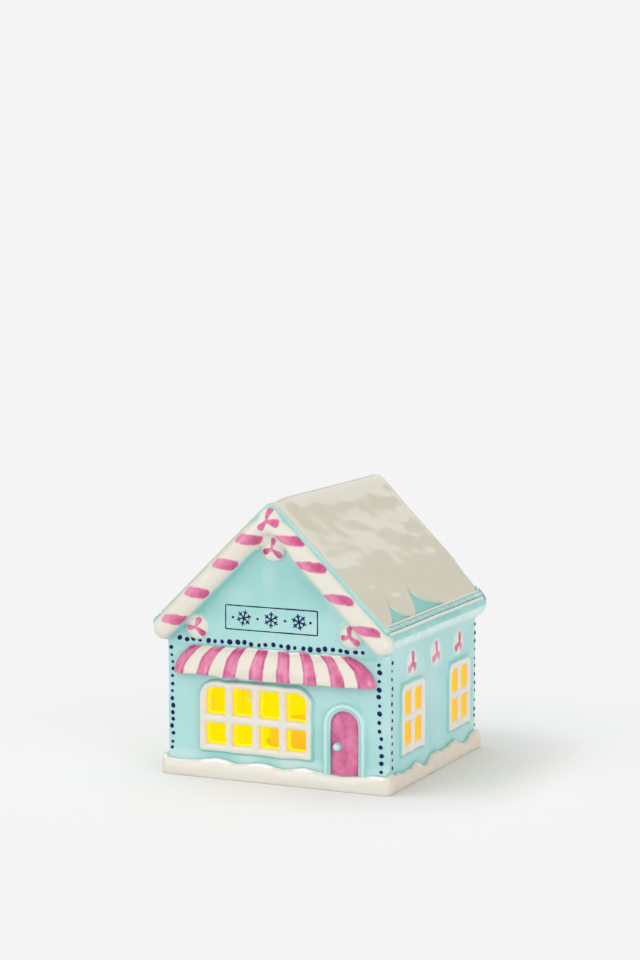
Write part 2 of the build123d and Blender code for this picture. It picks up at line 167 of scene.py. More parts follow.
def placePiece(piece, body, node):
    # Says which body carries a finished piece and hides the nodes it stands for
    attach(piece, body)
    if node:
        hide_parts(*([node] if isinstance(node, str) else node))


def newPiece(name, verts, faces, materials, node=None, channels=None, faceSlots=None, sharp=38):
    mesh = bpy.data.meshes.new(name)
    mesh.from_pydata((np.asarray(verts) * mm).tolist(), [], faces)
    for material in materials:
        mesh.materials.append(material)
    if faceSlots is not None:
        mesh.polygons.foreach_set("material_index", np.asarray(faceSlots, dtype=np.int32))
    for key, values in (channels or {}).items():
        layer = mesh.attributes.new(key, "FLOAT", "POINT")
        layer.data.foreach_set("value", np.asarray(values, dtype=np.float32))
    mesh.validate()
    mesh.shade_smooth()
    mesh.set_sharp_from_angle(angle=math.radians(sharp))
    piece = bpy.data.objects.new(name, mesh)
    bpy.context.scene.collection.objects.link(piece)
    placePiece(piece, "house", node)
    return piece


relief = {"probe": 0.02, "steepest": 0.25, "passes": 4}  # how the rim is drawn onto its outline


def reliefPiece(name, field, height, area, step, back, place, materials, node=None, flip=False,
                channels=None, rings=(0.35, 1.0), sharp=38, lines=None):
    # A soft-edged relief on a face: field is its outline, height its swell, back how deep it goes in
    (uLow, vLow), (uHigh, vHigh) = area
    us = np.linspace(uLow, uHigh, max(2, round((uHigh - uLow) / step)) + 1) if lines is None else lines
    vs = np.linspace(vLow, vHigh, max(2, round((vHigh - vLow) / step)) + 1)
    u, v = np.meshgrid(us, vs)
    centre = field((u[1:, 1:] + u[:-1, :-1]) / 2, (v[1:, 1:] + v[:-1, :-1]) / 2) < 0
    ids = np.arange(u.size).reshape(u.shape)
    cells = np.stack([ids[:-1, :-1], ids[:-1, 1:], ids[1:, 1:], ids[1:, :-1]], -1)[centre]
    kept = np.unique(cells)
    newIds = np.full(u.size, -1)
    newIds[kept] = np.arange(kept.size)
    cells = newIds[cells]
    u, v = u.ravel()[kept].copy(), v.ravel()[kept].copy()
    edges = np.concatenate([cells[:, [k, (k + 1) % 4]] for k in range(4)])
    first, count = np.unique(np.sort(edges, 1), axis=0, return_index=True, return_counts=True)[1:]
    rim = edges[first[count == 1]]
    rimIds = np.unique(rim)
    probe = relief["probe"]
    for k in range(relief["passes"]):  # the rim's points go onto the outline itself
        ru, rv = u[rimIds], v[rimIds]
        d = field(ru, rv)
        gu = (field(ru + probe, rv) - field(ru - probe, rv)) / (2 * probe)
        gv = (field(ru, rv + probe) - field(ru, rv - probe)) / (2 * probe)
        norm = np.maximum(gu * gu + gv * gv, relief["steepest"])
        u[rimIds] -= np.clip(d * gu / norm, -step, step)
        v[rimIds] -= np.clip(d * gv / norm, -step, step)
    h = height(u, v)
    everyId = np.arange(u.size)
    blocks, source, depth = [np.stack(place(u, v, h), -1)], [everyId], [np.zeros(u.size)]
    faces, faceSlots = cells.tolist(), [0] * len(cells)
    last = {int(i): int(i) for i in rimIds}
    total = u.size
    for share in rings:  # rings down the edge; the last one closes the back
        if share < 1.0:
            blocks.append(np.stack(place(u[rimIds], v[rimIds], h[rimIds] + (-back - h[rimIds]) * share), -1))
            source.append(rimIds)
            new = {int(i): total + k for k, i in enumerate(rimIds)}
            total += rimIds.size
        else:
            blocks.append(np.stack(place(u, v, np.full(u.shape, -float(back))), -1))
            source.append(everyId)
            new = {int(i): total + int(i) for i in rimIds}
        depth.append(np.full(source[-1].size, share))
        faces += [[last[a], new[a], new[b], last[b]] for a, b in rim.tolist()]
        faceSlots += [0] * len(rim)
        last = new
    faces += (cells[:, ::-1] + total).tolist()
    faceSlots += [len(materials) - 1] * len(cells)
    if flip:
        faces = [face[::-1] for face in faces]
    source = np.concatenate(source)
    values = {key: np.asarray(channel(u, v), float)[source] for key, channel in (channels or {}).items()}
    values["depth"] = np.concatenate(depth)
    return newPiece(name, np.concatenate(blocks), faces, materials, node, values, faceSlots, sharp)


def onFront(u, v, h):
    return u, wallFront - h, v


def onBack(u, v, h):
    return u, halfDepth + h, v


def onRight(u, v, h):
    return halfWidth + h, u, v


def onLeft(u, v, h):
    return -halfWidth - h, u, v


# How a face is placed, and whether its mesh has to be turned over
wallFaces = {"front": (onFront, False), "right": (onRight, False),
             "left": (onLeft, True), "back": (onBack, True)}


# Shader groups

def newGroup(name, inputs, outputs):
    tree = bpy.data.node_groups.new(name, "ShaderNodeTree")
    for label, kind, value in inputs:
        socket = tree.interface.new_socket(label, in_out="INPUT", socket_type=kind)
        socket.default_value = value
    for label, kind in outputs:
        tree.interface.new_socket(label, in_out="OUTPUT", socket_type=kind)
    return tree, tree.nodes.new("NodeGroupInput"), tree.nodes.new("NodeGroupOutput")


def feed(tree, socket, value):
    if isinstance(value, bpy.types.NodeSocket):
        tree.links.new(value, socket)
    else:
        socket.default_value = value


def addNode(tree, kind, inputs=None, **settings):
    node = tree.nodes.new(kind)
    for key, value in settings.items():
        setattr(node, key, value)
    for key, value in (inputs or {}).items():
        feed(tree, node.inputs[key], value)
    return node


def mathNode(tree, operation, a, b, clamp=False):
    return addNode(tree, "ShaderNodeMath", {0: a, 1: b}, operation=operation, use_clamp=clamp).outputs[0]


def mixColour(tree, factor, a, b):
    return addNode(tree, "ShaderNodeMix", {0: factor, 6: a, 7: b}, data_type="RGBA").outputs[2]


def stepNode(tree, value, low, high):
    node = addNode(tree, "ShaderNodeMapRange", {"Value": value, "From Min": low, "From Max": high},
                   interpolation_type="SMOOTHSTEP")
    return node.outputs[0]


def drifting(tree, base, mask, amount):
    # A value that moves about its base with a mask, kept from 0 to 1
    return mathNode(tree, "ADD", base, mathNode(tree, "MULTIPLY", mask, amount), clamp=True)


def rgba(colour):
    return (*colour, 1.0)


def objectPlace(tree):
    return addNode(tree, "ShaderNodeTexCoord").outputs["Object"]


cloudLook = {"size": 0.02, "detail": 3.0, "contrast": 2.6, "fineTimes": 9.0, "fineDetail": 2.0,
             "fineContrast": 2.0, "fineHeight": 0.07}


def makeGlazeCloud():
    # Slow drifts of a brushed glaze: masks from about -1 to 1 and a height for the bump
    tree, into, out = newGroup(
        "glazeCloud", [("Size", "NodeSocketFloat", cloudLook["size"]), ("Seed", "NodeSocketFloat", 0.0)],
        [("Drift", "NodeSocketFloat"), ("Fine", "NodeSocketFloat"), ("Height", "NodeSocketFloat")])
    scale = mathNode(tree, "DIVIDE", 1.0, into.outputs["Size"])
    place = addNode(tree, "ShaderNodeVectorMath", {0: objectPlace(tree), 1: into.outputs["Seed"]},
                    operation="ADD").outputs[0]
    slow = addNode(tree, "ShaderNodeTexNoise", {"Vector": place, "Scale": scale, "Roughness": 0.5,
                                                "Detail": cloudLook["detail"]}).outputs[0]
    fineScale = mathNode(tree, "MULTIPLY", scale, cloudLook["fineTimes"])
    fine = addNode(tree, "ShaderNodeTexNoise", {"Vector": place, "Scale": fineScale,
                                                "Detail": cloudLook["fineDetail"]}).outputs[0]
    for label, source, contrast in (("Drift", slow, "contrast"), ("Fine", fine, "fineContrast")):
        centred = mathNode(tree, "SUBTRACT", source, 0.5)
        tree.links.new(mathNode(tree, "MULTIPLY", centred, cloudLook[contrast]), out.inputs[label])
    height = mathNode(tree, "ADD", slow, mathNode(tree, "MULTIPLY", fine, cloudLook["fineHeight"]))
    tree.links.new(height, out.inputs["Height"])
    return tree


brushLook = {"streaks": 900.0, "blots": 300.0, "blotShare": 1.4, "middle": 1.2, "ragged": 1.6,
             "edge": (0.12, 0.88)}


def makeBrushTint():
    # A brushed colour between two tones, streaked, over a ground
    white = (1, 1, 1, 1)
    tree, into, out = newGroup(
        "brushTint",
        [("Ground", "NodeSocketColor", white), ("Light", "NodeSocketColor", white),
         ("Deep", "NodeSocketColor", white), ("Mask", "NodeSocketFloat", 0.0),
         ("Tone", "NodeSocketFloat", 0.5), ("Streak", "NodeSocketFloat", 0.25)],
        [("Color", "NodeSocketColor"), ("Cover", "NodeSocketFloat")])
    coord = objectPlace(tree)

    def grain(scale, detail):
        node = addNode(tree, "ShaderNodeTexNoise", {"Vector": coord, "Scale": scale, "Detail": detail})
        return node.outputs[0]

    streaks, blots = grain(brushLook["streaks"], 3.0), grain(brushLook["blots"], 2.0)
    both = mathNode(tree, "ADD", streaks, mathNode(tree, "MULTIPLY", blots, brushLook["blotShare"]))
    uneven = mathNode(tree, "SUBTRACT", both, brushLook["middle"])
    tone = drifting(tree, into.outputs["Tone"], uneven, into.outputs["Streak"])
    paint = mixColour(tree, tone, into.outputs["Light"], into.outputs["Deep"])
    mask = into.outputs["Mask"]
    soft = mathNode(tree, "MULTIPLY", mathNode(tree, "SUBTRACT", 1.0, mask), mask)
    ragged = mathNode(tree, "MULTIPLY", mathNode(tree, "MULTIPLY", uneven, soft), brushLook["ragged"])
    cover = stepNode(tree, mathNode(tree, "ADD", mask, ragged), *brushLook["edge"])
    tree.links.new(mixColour(tree, cover, into.outputs["Ground"], paint), out.inputs["Color"])
    tree.links.new(cover, out.inputs["Cover"])
    return tree


glazeCloud = makeGlazeCloud()
brushTint = makeBrushTint()


# Glazes: colours first, then one function for each finish
glazes = {
    "aqua": linear("A6D7D4"), "aquaDeep": linear("84C5BE"), "aquaPale": linear("D2E9E8"),
    "cream": linear("E5E1D6"), "creamWarm": linear("DDD8C9"), "creamSide": linear("D8CDBB"),
    "creamRoof": linear("D3CDB9"), "creamRoofDeep": linear("CCC6B0"), "highlightWhite": linear("FBFAF6"),
    "pink": linear("E283AA"), "pinkDeep": linear("BC3C74"),
    "navy": linear("081450"), "navyThin": linear("152468"),
    "rope": linear("BFE2DE"), "ropePale": linear("DDEDE8"),
    # bisqueLit, lemon, amber and hotSpot paint the lamp's light on the inside faces and the window reveals
    "bisque": linear("EFE7D6"), "bisqueDeep": linear("E2D8C4"), "bisqueLit": linear("B9A23C"),
    "lemon": linear("E8EC00"), "amber": linear("FDB21E"), "hotSpot": linear("FFF27A"),
}


def newMaterial(name):
    material = bpy.data.materials.new(name)
    material.use_nodes = True
    tree = material.node_tree
    tree.nodes.clear()
    shader = tree.nodes.new("ShaderNodeBsdfPrincipled")
    output = tree.nodes.new("ShaderNodeOutputMaterial")
    tree.links.new(shader.outputs[0], output.inputs[0])
    return material, tree, shader


def attribute(tree, name):
    return addNode(tree, "ShaderNodeAttribute", attribute_name=name).outputs["Fac"]


def cloud(tree, size, seed):
    return addNode(tree, "ShaderNodeGroup", {"Size": size, "Seed": seed}, node_tree=glazeCloud)


def looseMask(tree, name, group, amount, low, high):
    # An attribute as a mask whose edge wanders with the cloud's fine part
    fine = mathNode(tree, "MULTIPLY", group.outputs["Fine"], amount)
    return stepNode(tree, mathNode(tree, "ADD", attribute(tree, name), fine), low, high)


glassIor, roughDrift = 1.52, 0.05


def finishGlaze(tree, shader, colour, group, gloss=0.16, bump=0.35, reach=0.0006):
    tree.links.new(colour, shader.inputs["Base Color"])
    tree.links.new(drifting(tree, gloss, group.outputs["Fine"], roughDrift), shader.inputs["Roughness"])
    shader.inputs["IOR"].default_value = glassIor
    lift = addNode(tree, "ShaderNodeBump", {"Height": group.outputs["Height"], "Strength": bump,
                                            "Distance": reach})
    tree.links.new(lift.outputs[0], shader.inputs["Normal"])


aquaLook = {"size": 0.022, "seed": 1.7, "poolDrift": 0.26, "paleDrift": -0.32, "creamEdge": (0.35, 0.65)}


def aquaWash(tree, seed):
    # Aqua that is deeper where the glaze pools and paler where it runs thin; the same two masks also carry
    # painted shade and painted light
    group = cloud(tree, aquaLook["size"], seed)
    drift = group.outputs["Drift"]
    poolAndShade = drifting(tree, attribute(tree, "poolAndShade"), drift, aquaLook["poolDrift"])
    paleAndLit = drifting(tree, attribute(tree, "paleAndLit"), drift, aquaLook["paleDrift"])
    colour = mixColour(tree, poolAndShade, rgba(glazes["aqua"]), rgba(glazes["aquaDeep"]))
    return mixColour(tree, paleAndLit, colour, rgba(glazes["aquaPale"])), group


def makeAqua():
    material, tree, shader = newMaterial("aquaGlaze")
    colour, group = aquaWash(tree, aquaLook["seed"])
    cream = stepNode(tree, attribute(tree, "cream"), *aquaLook["creamEdge"])
    finishGlaze(tree, shader, mixColour(tree, cream, colour, rgba(glazes["creamWarm"])), group)
    return material


ivoryLook = {"seedStep": 3.1, "drift": (0.4, 0.45), "streak": 0.6, "crest": (0.25, 0.12, 0.85),
             "skirt": (0.25, 0.35, 0.75)}


def makeCream(name, ground, warm, seed, size=0.016, gloss=0.15, bump=0.35):
    # Ivory glaze that may carry pink brush strokes and sits in a pool of aqua at its foot; it may also carry
    # painted shade and a painted highlight
    material, tree, shader = newMaterial(name)
    aqua = aquaWash(tree, seed)[0]
    own = cloud(tree, size, seed + ivoryLook["seedStep"])
    middle, amount = ivoryLook["drift"]
    ivory = mixColour(tree, drifting(tree, middle, own.outputs["Drift"], amount), rgba(ground), rgba(warm))
    # The warm mask darkens the ivory towards the side cream: painted shade on the bank's sides and the left
    # cane, an even tone on the awning
    ivory = mixColour(tree, attribute(tree, "warm"), ivory, rgba(glazes["creamSide"]))
    # The crest mask paints white on as a highlight
    crest = looseMask(tree, "crest", own, *ivoryLook["crest"])
    ivory = mixColour(tree, crest, ivory, rgba(glazes["highlightWhite"]))
    brush = addNode(tree, "ShaderNodeGroup", {
        "Ground": ivory, "Light": rgba(glazes["pink"]), "Deep": rgba(glazes["pinkDeep"]),
        "Streak": ivoryLook["streak"], "Mask": attribute(tree, "paint"), "Tone": attribute(tree, "tone"),
    }, node_tree=brushTint)
    foot = looseMask(tree, "skirt", own, *ivoryLook["skirt"])
    finishGlaze(tree, shader, mixColour(tree, foot, brush.outputs["Color"], aqua), own, gloss, bump)
    return material


navyLook = {"size": 0.002, "seed": 5.0, "drift": (0.15, 0.3), "gloss": 0.34, "bump": 0.1, "shine": 0.15}


def makeNavy():
    material, tree, shader = newMaterial("navyGlaze")
    group = cloud(tree, navyLook["size"], navyLook["seed"])
    middle, amount = navyLook["drift"]
    drift = drifting(tree, middle, group.outputs["Drift"], amount)
    colour = mixColour(tree, drift, rgba(glazes["navy"]), rgba(glazes["navyThin"]))
    finishGlaze(tree, shader, colour, group, navyLook["gloss"], navyLook["bump"])
    shader.inputs["Specular IOR Level"].default_value = navyLook["shine"]
    return material


litLook = {"size": 0.018, "seed": 8.0, "wander": 0.008, "turn": (-0.024, 0.006), "spot": (0.15, 0.75),
           "spotShare": 0.35, "floorTop": (0.0066, 0.0072), "bareDrift": (0.4, 0.4), "rough": 0.7,
           "glow": 0.63}


def makeLit():
    # Inside faces with the lamp's light painted on: a yellow base and a glow, lemon to the left and amber to
    # the right, with painted bright spots, above the bare floor
    material, tree, shader = newMaterial("litBisque")
    place = addNode(tree, "ShaderNodeSeparateXYZ", {0: objectPlace(tree)})
    drift = cloud(tree, litLook["size"], litLook["seed"]).outputs["Drift"]
    across = mathNode(tree, "ADD", place.outputs[0], mathNode(tree, "MULTIPLY", drift, litLook["wander"]))
    turn = stepNode(tree, across, *litLook["turn"])
    glow = mixColour(tree, turn, rgba(glazes["lemon"]), rgba(glazes["amber"]))
    spot = mathNode(tree, "MULTIPLY", stepNode(tree, drift, *litLook["spot"]), litLook["spotShare"])
    glow = mixColour(tree, spot, glow, rgba(glazes["hotSpot"]))
    above = stepNode(tree, place.outputs[2], *litLook["floorTop"])
    middle, amount = litLook["bareDrift"]
    patchy = drifting(tree, middle, drift, amount)
    bare = mixColour(tree, patchy, rgba(glazes["bisque"]), rgba(glazes["bisqueDeep"]))
    tree.links.new(mixColour(tree, above, bare, rgba(glazes["bisqueLit"])), shader.inputs["Base Color"])
    shader.inputs["Roughness"].default_value = litLook["rough"]
    tree.links.new(glow, shader.inputs["Emission Color"])
    tree.links.new(mathNode(tree, "MULTIPLY", above, litLook["glow"]), shader.inputs["Emission Strength"])
    return material


aquaGlaze = makeAqua()
creamGlaze = makeCream("creamGlaze", glazes["cream"], glazes["creamWarm"], 2.3)
snowGlaze = makeCream("snowGlaze", glazes["creamRoof"], glazes["creamRoofDeep"], 4.9, 0.013, 0.07, 0.03)
navyGlaze = makeNavy()
litBisque = makeLit()
print("materials made")


# Camera, floor and light
view = {"place": (418.7, -921.17, 228.95), "yaw": 24.5555, "pitch": 6.6425, "focal": 2609.92, "longSide": 960,
        "sensor": 36, "nearest": 0.01}


def addCamera():
    camera = bpy.data.cameras.new("photoCamera")
    camera.sensor_width = view["sensor"]
    camera.sensor_height = view["sensor"]
    camera.sensor_fit = "AUTO"
    camera.lens = view["focal"] / view["longSide"] * view["sensor"]
    camera.clip_start = view["nearest"]
    holder = bpy.data.objects.new("photoCamera", camera)
    holder.location = [c * mm for c in view["place"]]
    holder.rotation_euler = (math.radians(90 - view["pitch"]), 0, math.radians(view["yaw"]))
    bpy.context.scene.collection.objects.link(holder)
    bpy.context.scene.camera = holder


studio = {"backdrop": 0.905, "paper": 0.945, "bounce": 0.9, "rough": 0.9, "half": 3.0, "open": 0.0462,
          "inner": 0.06, "outer": 0.20, "veil": 0.2,
          "shade": (0.58, 0.57, 0.47), "shadeReach": 0.053, "shadeFrom": (-0.80, -0.27, 0.54),
          "world": 0.64, "horizon": (0.04, 0.26), "aim": (0, 0, 0.05)}
lamps = {
    "keyLight": {"place": (-0.88, -1.26, 0.62), "size": 1.2, "power": 6.2},
    "fillLight": {"place": (1.30, -0.75, 0.44), "size": 1.0, "power": 6.6},
    "rimLight": {"place": (-0.096, 1.30, 0.752), "size": 0.66, "power": 0.86, "colour": (0.88, 0.94, 1.0)},
    "topLight": {"place": (0.10, 0.25, 1.60), "size": 1.3, "power": 2.1},
    "gleamLight": {"place": (-0.66, -0.30, 1.30), "size": 0.40, "power": 2.6},
}


def grey(level):
    return (level, level, level, 1.0)


def cameraRay(tree):
    return addNode(tree, "ShaderNodeLightPath").outputs["Is Camera Ray"]


def makePaper():
    # Pale paper with a painted soft contact shadow on the side away from the key; to the camera it fades into
    # the backdrop
    material, tree, shader = newMaterial("studioPaper")
    shader.inputs["Roughness"].default_value = studio["rough"]
    shader.inputs["Specular IOR Level"].default_value = 0.0
    away = addNode(tree, "ShaderNodeVectorMath", {0: objectPlace(tree)}, operation="LENGTH").outputs["Value"]
    far = addNode(tree, "ShaderNodeMapRange", {
        "Value": away, "From Min": studio["inner"], "From Max": studio["outer"], "To Min": studio["veil"],
    }, interpolation_type="SMOOTHSTEP").outputs[0]
    seen = cameraRay(tree)
    # An occlusion test tilted towards the key paints that shadow near the house
    aim = addNode(tree, "ShaderNodeCombineXYZ", dict(enumerate(studio["shadeFrom"]))).outputs[0]
    clear = addNode(tree, "ShaderNodeAmbientOcclusion", {"Distance": studio["shadeReach"], "Normal": aim})
    shaded = rgba([studio["paper"] * c for c in studio["shade"]])
    shadowedPaper = mixColour(tree, clear.outputs["AO"], shaded, grey(studio["paper"]))
    tree.links.new(mixColour(tree, seen, grey(studio["bounce"]), shadowedPaper), shader.inputs["Base Color"])
    plain = addNode(tree, "ShaderNodeEmission", {"Color": grey(studio["backdrop"]), "Strength": 1.0})
    mix = addNode(tree, "ShaderNodeMixShader", {0: mathNode(tree, "MULTIPLY", far, seen),
                                                1: shader.outputs[0], 2: plain.outputs[0]})
    output = next(node for node in tree.nodes if node.type == "OUTPUT_MATERIAL")
    tree.links.new(mix.outputs[0], output.inputs[0])
    return material


def addFloor():
    # The sheet is open under the house, so the underside and the light module can be looked at from below
    corners = [(-1, -1), (1, -1), (1, 1), (-1, 1)]
    verts = [(x * reach, y * reach, 0) for reach in (studio["half"], studio["open"]) for x, y in corners]
    mesh = bpy.data.meshes.new("studioFloor")
    mesh.from_pydata(verts, [], [(k, (k + 1) % 4, (k + 1) % 4 + 4, k + 4) for k in range(4)])
    mesh.materials.append(makePaper())
    floor = bpy.data.objects.new("studioFloor", mesh)
    bpy.context.scene.collection.objects.link(floor)


def addLight(name, place, size, power, colour=(1, 1, 1)):
    light = bpy.data.lights.new(name, "AREA")
    light.shape = "DISK"
    light.size = size
    light.energy = power
    light.color = colour
    holder = bpy.data.objects.new(name, light)
    holder.location = place
    aim = Vector(studio["aim"]) - Vector(place)
    holder.rotation_euler = aim.to_track_quat("-Z", "Y").to_euler()
    bpy.context.scene.collection.objects.link(holder)


def addWorld():
    world = bpy.data.worlds.new("studioWorld")
    bpy.context.scene.world = world
    world.use_nodes = True
    tree = world.node_tree
    tree.nodes.clear()
    coord = addNode(tree, "ShaderNodeTexCoord").outputs["Generated"]
    up = addNode(tree, "ShaderNodeSeparateXYZ", {0: coord}).outputs[2]
    high = stepNode(tree, up, *studio["horizon"])
    wall = mixColour(tree, high, grey(studio["backdrop"]), grey(studio["world"]))
    room = addNode(tree, "ShaderNodeBackground", {"Color": wall, "Strength": 1.0})
    paper = addNode(tree, "ShaderNodeBackground", {"Color": grey(studio["backdrop"]), "Strength": 1.0})
    mix = addNode(tree, "ShaderNodeMixShader", {0: cameraRay(tree), 1: room.outputs[0], 2: paper.outputs[0]})
    output = tree.nodes.new("ShaderNodeOutputWorld")
    tree.links.new(mix.outputs[0], output.inputs[0])


addCamera()
addFloor()
addWorld()
for lampName, lamp in lamps.items():
    addLight(lampName, **lamp)
bpy.context.scene.view_settings.view_transform = "Standard"
print("camera, floor and lights placed")


# Outlines shared by the walls and the pieces on them
shop = {"low": (-31.2, 10.6), "high": (15.9, 37.7), "columns": 4, "border": 2.5, "bar": 3.0, "head": 2.3,
        "sill": 2.8, "cross": 3.5, "lower": 8.1, "cornerTop": 6.5, "cornerFoot": 1.2, "proud": 2.0,
        "soft": 1.5, "skirt": 1.0}
sideWindow = {"centres": (-21.8, 25.8), "half": 11.5, "foot": 12.4, "top": 39.0, "columns": 2, "border": 2.9,
              "bar": 2.8, "head": 2.9, "sill": 3.1, "cross": 2.9, "lower": 8.9, "cornerTop": 3.4,
              "cornerFoot": 0.9, "proud": 1.2, "soft": 1.4, "skirt": 1.1}
door = {"middle": 29.1, "half": 6.2, "foot": 3.6, "spring": 24.8, "trim": 3.1, "proud": 1.3,
        "knob": (26.0, 16.6), "knobRadius": 1.8, "knobRise": 2.2, "sunk": 0.5, "belly": 0.45,
        "bellyEdge": 2.2, "lap": 0.8, "below": 1.5, "panelStep": 0.4, "beadShare": 0.46, "apron": 0.35,
        "trimDeep": 1.0, "trimStep": 0.36, "knobSunk": 0.3, "knobDeep": 0.4, "knobStep": 0.22}
cane = {"peak": 101.86, "endAcross": 45.5, "endUp": 57.3, "half": 4.55, "rise": 6.4, "skirt": 0.4, "web": 7.0,
        "webStart": 5, "shift": 0.3, "step": 0.4, "margin": 6}
mints = {"gable": (0.0, 90.2), "gableRadius": 4.8, "eave": (31.9, 59.1), "leftShift": (-0.4, -0.8),
         "radius": 4.6, "sideRadius": 5.0, "sideAlong": (-21.8, 2.0, 25.8), "sideUp": 46.0, "skirt": 0.7,
         "step": 0.28, "margin": 1.6, "sunk": 0.3, "gableRise": 2.7, "eaveRise": 2.2, "sideRise": 0.55}
awning = {"top": 51.1, "foot": 40.7, "halfTop": 34.0, "rightTop": 31.8, "halfFoot": 42.0, "topDepth": 0.9,
          "footDepth": 4.8, "stripes": 15, "across": 330, "rows": 30, "corner": 7.0,
          "cornerFrom": 0.86, "cornerPower": 0.8, "lap": 0.7, "widen": 0.75, "swell": 0.85, "wave": 0.10,
          "footWave": 0.8, "topWave": 0.9, "stripeSoft": 0.09, "stripeWander": 0.14, "brush": 0.85,
          "warm": 0.4}
bankHeights = {  # (along, height) of the snow bank's lumps
    "front": [(-50, 7.2), (-41, 6.2), (-33, 6.6), (-24, 8.2), (-15, 6.5), (-5, 7.9), (4, 6.2), (13, 7.7),
              (21, 6.3), (28, 5.7), (34, 6.2), (41, 7.2), (50, 7.0)],
    "side": [(-50, 7.0), (-43.4, 8.0), (-36, 6.4), (-29, 5.6), (-17, 7.5), (-9.5, 3.8), (-3, 7.9), (3, 7.2),
             (9.5, 6.3), (20.8, 8.3), (30.8, 4.4), (40.8, 8.0), (50, 7.0)],
    "back": [(-50, 7.0), (-38, 5.2), (-24, 7.6), (-10, 5.0), (6, 7.8), (20, 5.4), (34, 7.4), (50, 7.0)],
}
bankBlur = 1.5


def caneField(u, v):
    # Two bars joined at the apex, with a web of slip in their inner corner
    peak, web = cane["peak"], cane["web"]
    end = (cane["endAcross"], cane["endUp"])
    right = barField(u + cane["shift"], v, (0, peak), end, cane["half"])
    left = barField(-u, v, (0, peak), end, cane["half"])
    mix = np.clip(0.5 + 0.5 * (left - right) / web, 0, 1)
    return left * (1 - mix) + right * mix - web * mix * (1 - mix) * ramp(v, peak, peak - cane["webStart"])


def doorField(u, v, grow=0.0):
    return archField(u, v, door["middle"], door["half"] + grow, door["foot"], door["spring"])


def shopField(u, v):
    return boxField(u, v, shop["low"], shop["high"], shop["cornerFoot"], shop["cornerTop"])


def sideWindowBox(centre):
    return (centre - sideWindow["half"], sideWindow["foot"]), (centre + sideWindow["half"], sideWindow["top"])


def sideWindowField(u, v, centre):
    return boxField(u, v, *sideWindowBox(centre), sideWindow["cornerFoot"], sideWindow["cornerTop"])


def gableField(u, v):
    edge = np.maximum(np.abs(u) - halfWidth, wallFoot - v)
    return np.maximum(edge, (np.abs(u) * slope + v - ceilingPeak) * slopeCos)


def bankTop(side, along):
    places, heights = zip(*bankHeights[side])

    def at(shift):
        return np.interp(np.asarray(along) + shift, places, heights)

    return (at(0) * 2 + at(-bankBlur) + at(bankBlur)) / 4


# Walls: where their glaze pools and thins, with painted shade and painted light beside the canes, then the
# cast faces
poolLook = {"reach": 1.1, "cane": 0.6, "caneReach": 6.0, "caneFade": (14, -6), "gable": 0.5,
            "gableFade": (62, 84), "awning": 0.6, "awningUnder": 1.6, "awningOver": 0.9, "corner": 0.7,
            "cornerAt": 1.0, "cornerReach": 2.2, "jamb": 0.6, "jambAt": 1.6, "jambReach": 1.4,
            "headAt": 0.8, "headReach": 0.7,
            "front": {"ring": 0.5, "foot": 0.35, "footReach": 0.7, "streak": 0.0},
            "side": {"ring": 0.45, "foot": 0.9, "footReach": 1.2, "streak": 0.35},
            "back": {"ring": 0.0, "foot": 0.9, "footReach": 1.2, "streak": 0.35}}


def frontPool(u, v):
    # Darker beside the left cane only, a painted shadow of the cane; darker towards the top of the gable, and
    # in bands under the awning's foot and over its top
    caneShadow = fadeOut(caneField(u, v), poolLook["caneReach"]) * ramp(u, *poolLook["caneFade"])
    high = poolLook["gable"] * ramp(v, *poolLook["gableFade"])
    under = fadeOut(awning["foot"] - v, poolLook["awningUnder"]) * (v < awning["foot"] + 1)
    over = fadeOut(v - awning["top"], poolLook["awningOver"]) * (v > awning["top"] - 1)
    beside = np.maximum(under, over) * poolLook["awning"] * (np.abs(u) < awning["halfFoot"])
    return np.maximum.reduce([caneShadow * poolLook["cane"], high, beside])


def sidePool(u, v):
    soft = poolLook["corner"] * fadeOut(u + halfDepth - poolLook["cornerAt"], poolLook["cornerReach"])
    for c in sideWindow["centres"]:  # darker just past the window's far side and over its top
        jamb = np.exp(-np.abs(u - c - sideWindow["half"] - poolLook["jambAt"]) / poolLook["jambReach"])
        level = (v < sideWindow["top"]) * (v > sideWindow["foot"])
        head = np.exp(-np.abs(v - sideWindow["top"] - poolLook["headAt"]) / poolLook["headReach"])
        across = np.abs(u - c) < sideWindow["half"]
        soft = np.maximum.reduce([soft, jamb * level * poolLook["jamb"], head * across])
    return soft


def wallPool(side, u, v):
    # Glaze gathers darker beside everything that stands out from the wall; beside the left cane the darkening
    # is a painted shadow
    kind = side if side in ("front", "back") else "side"
    look = poolLook[kind]
    near, soft = [np.full(u.shape, np.inf)], np.zeros(u.shape)
    if kind == "front":
        near, soft = [shopField(u, v), doorField(u, v, door["trim"])], frontPool(u, v)
    elif kind == "side":
        near, soft = [sideWindowField(u, v, c) for c in sideWindow["centres"]], sidePool(u, v)
    ring = fadeOut(np.minimum.reduce(near), poolLook["reach"]) * look["ring"]
    foot = fadeOut(v - bankTop(kind, u), look["footReach"]) * look["foot"]
    streak = swing(u, v * 0.12, 2.6, 31, look["streak"])
    return np.clip(np.maximum.reduce([soft, ring, foot]) + streak, 0, 1)


paleLook = {"edge": 0.35, "edgeReach": 1.0, "cane": 0.55, "caneReach": 2.0, "caneFade": (4, 14), "bank": 0.6,
            "bankFade": (13, 8), "cloud": 0.7, "cloudSize": 9.0, "cloudFrom": 0.62, "seed": 12}


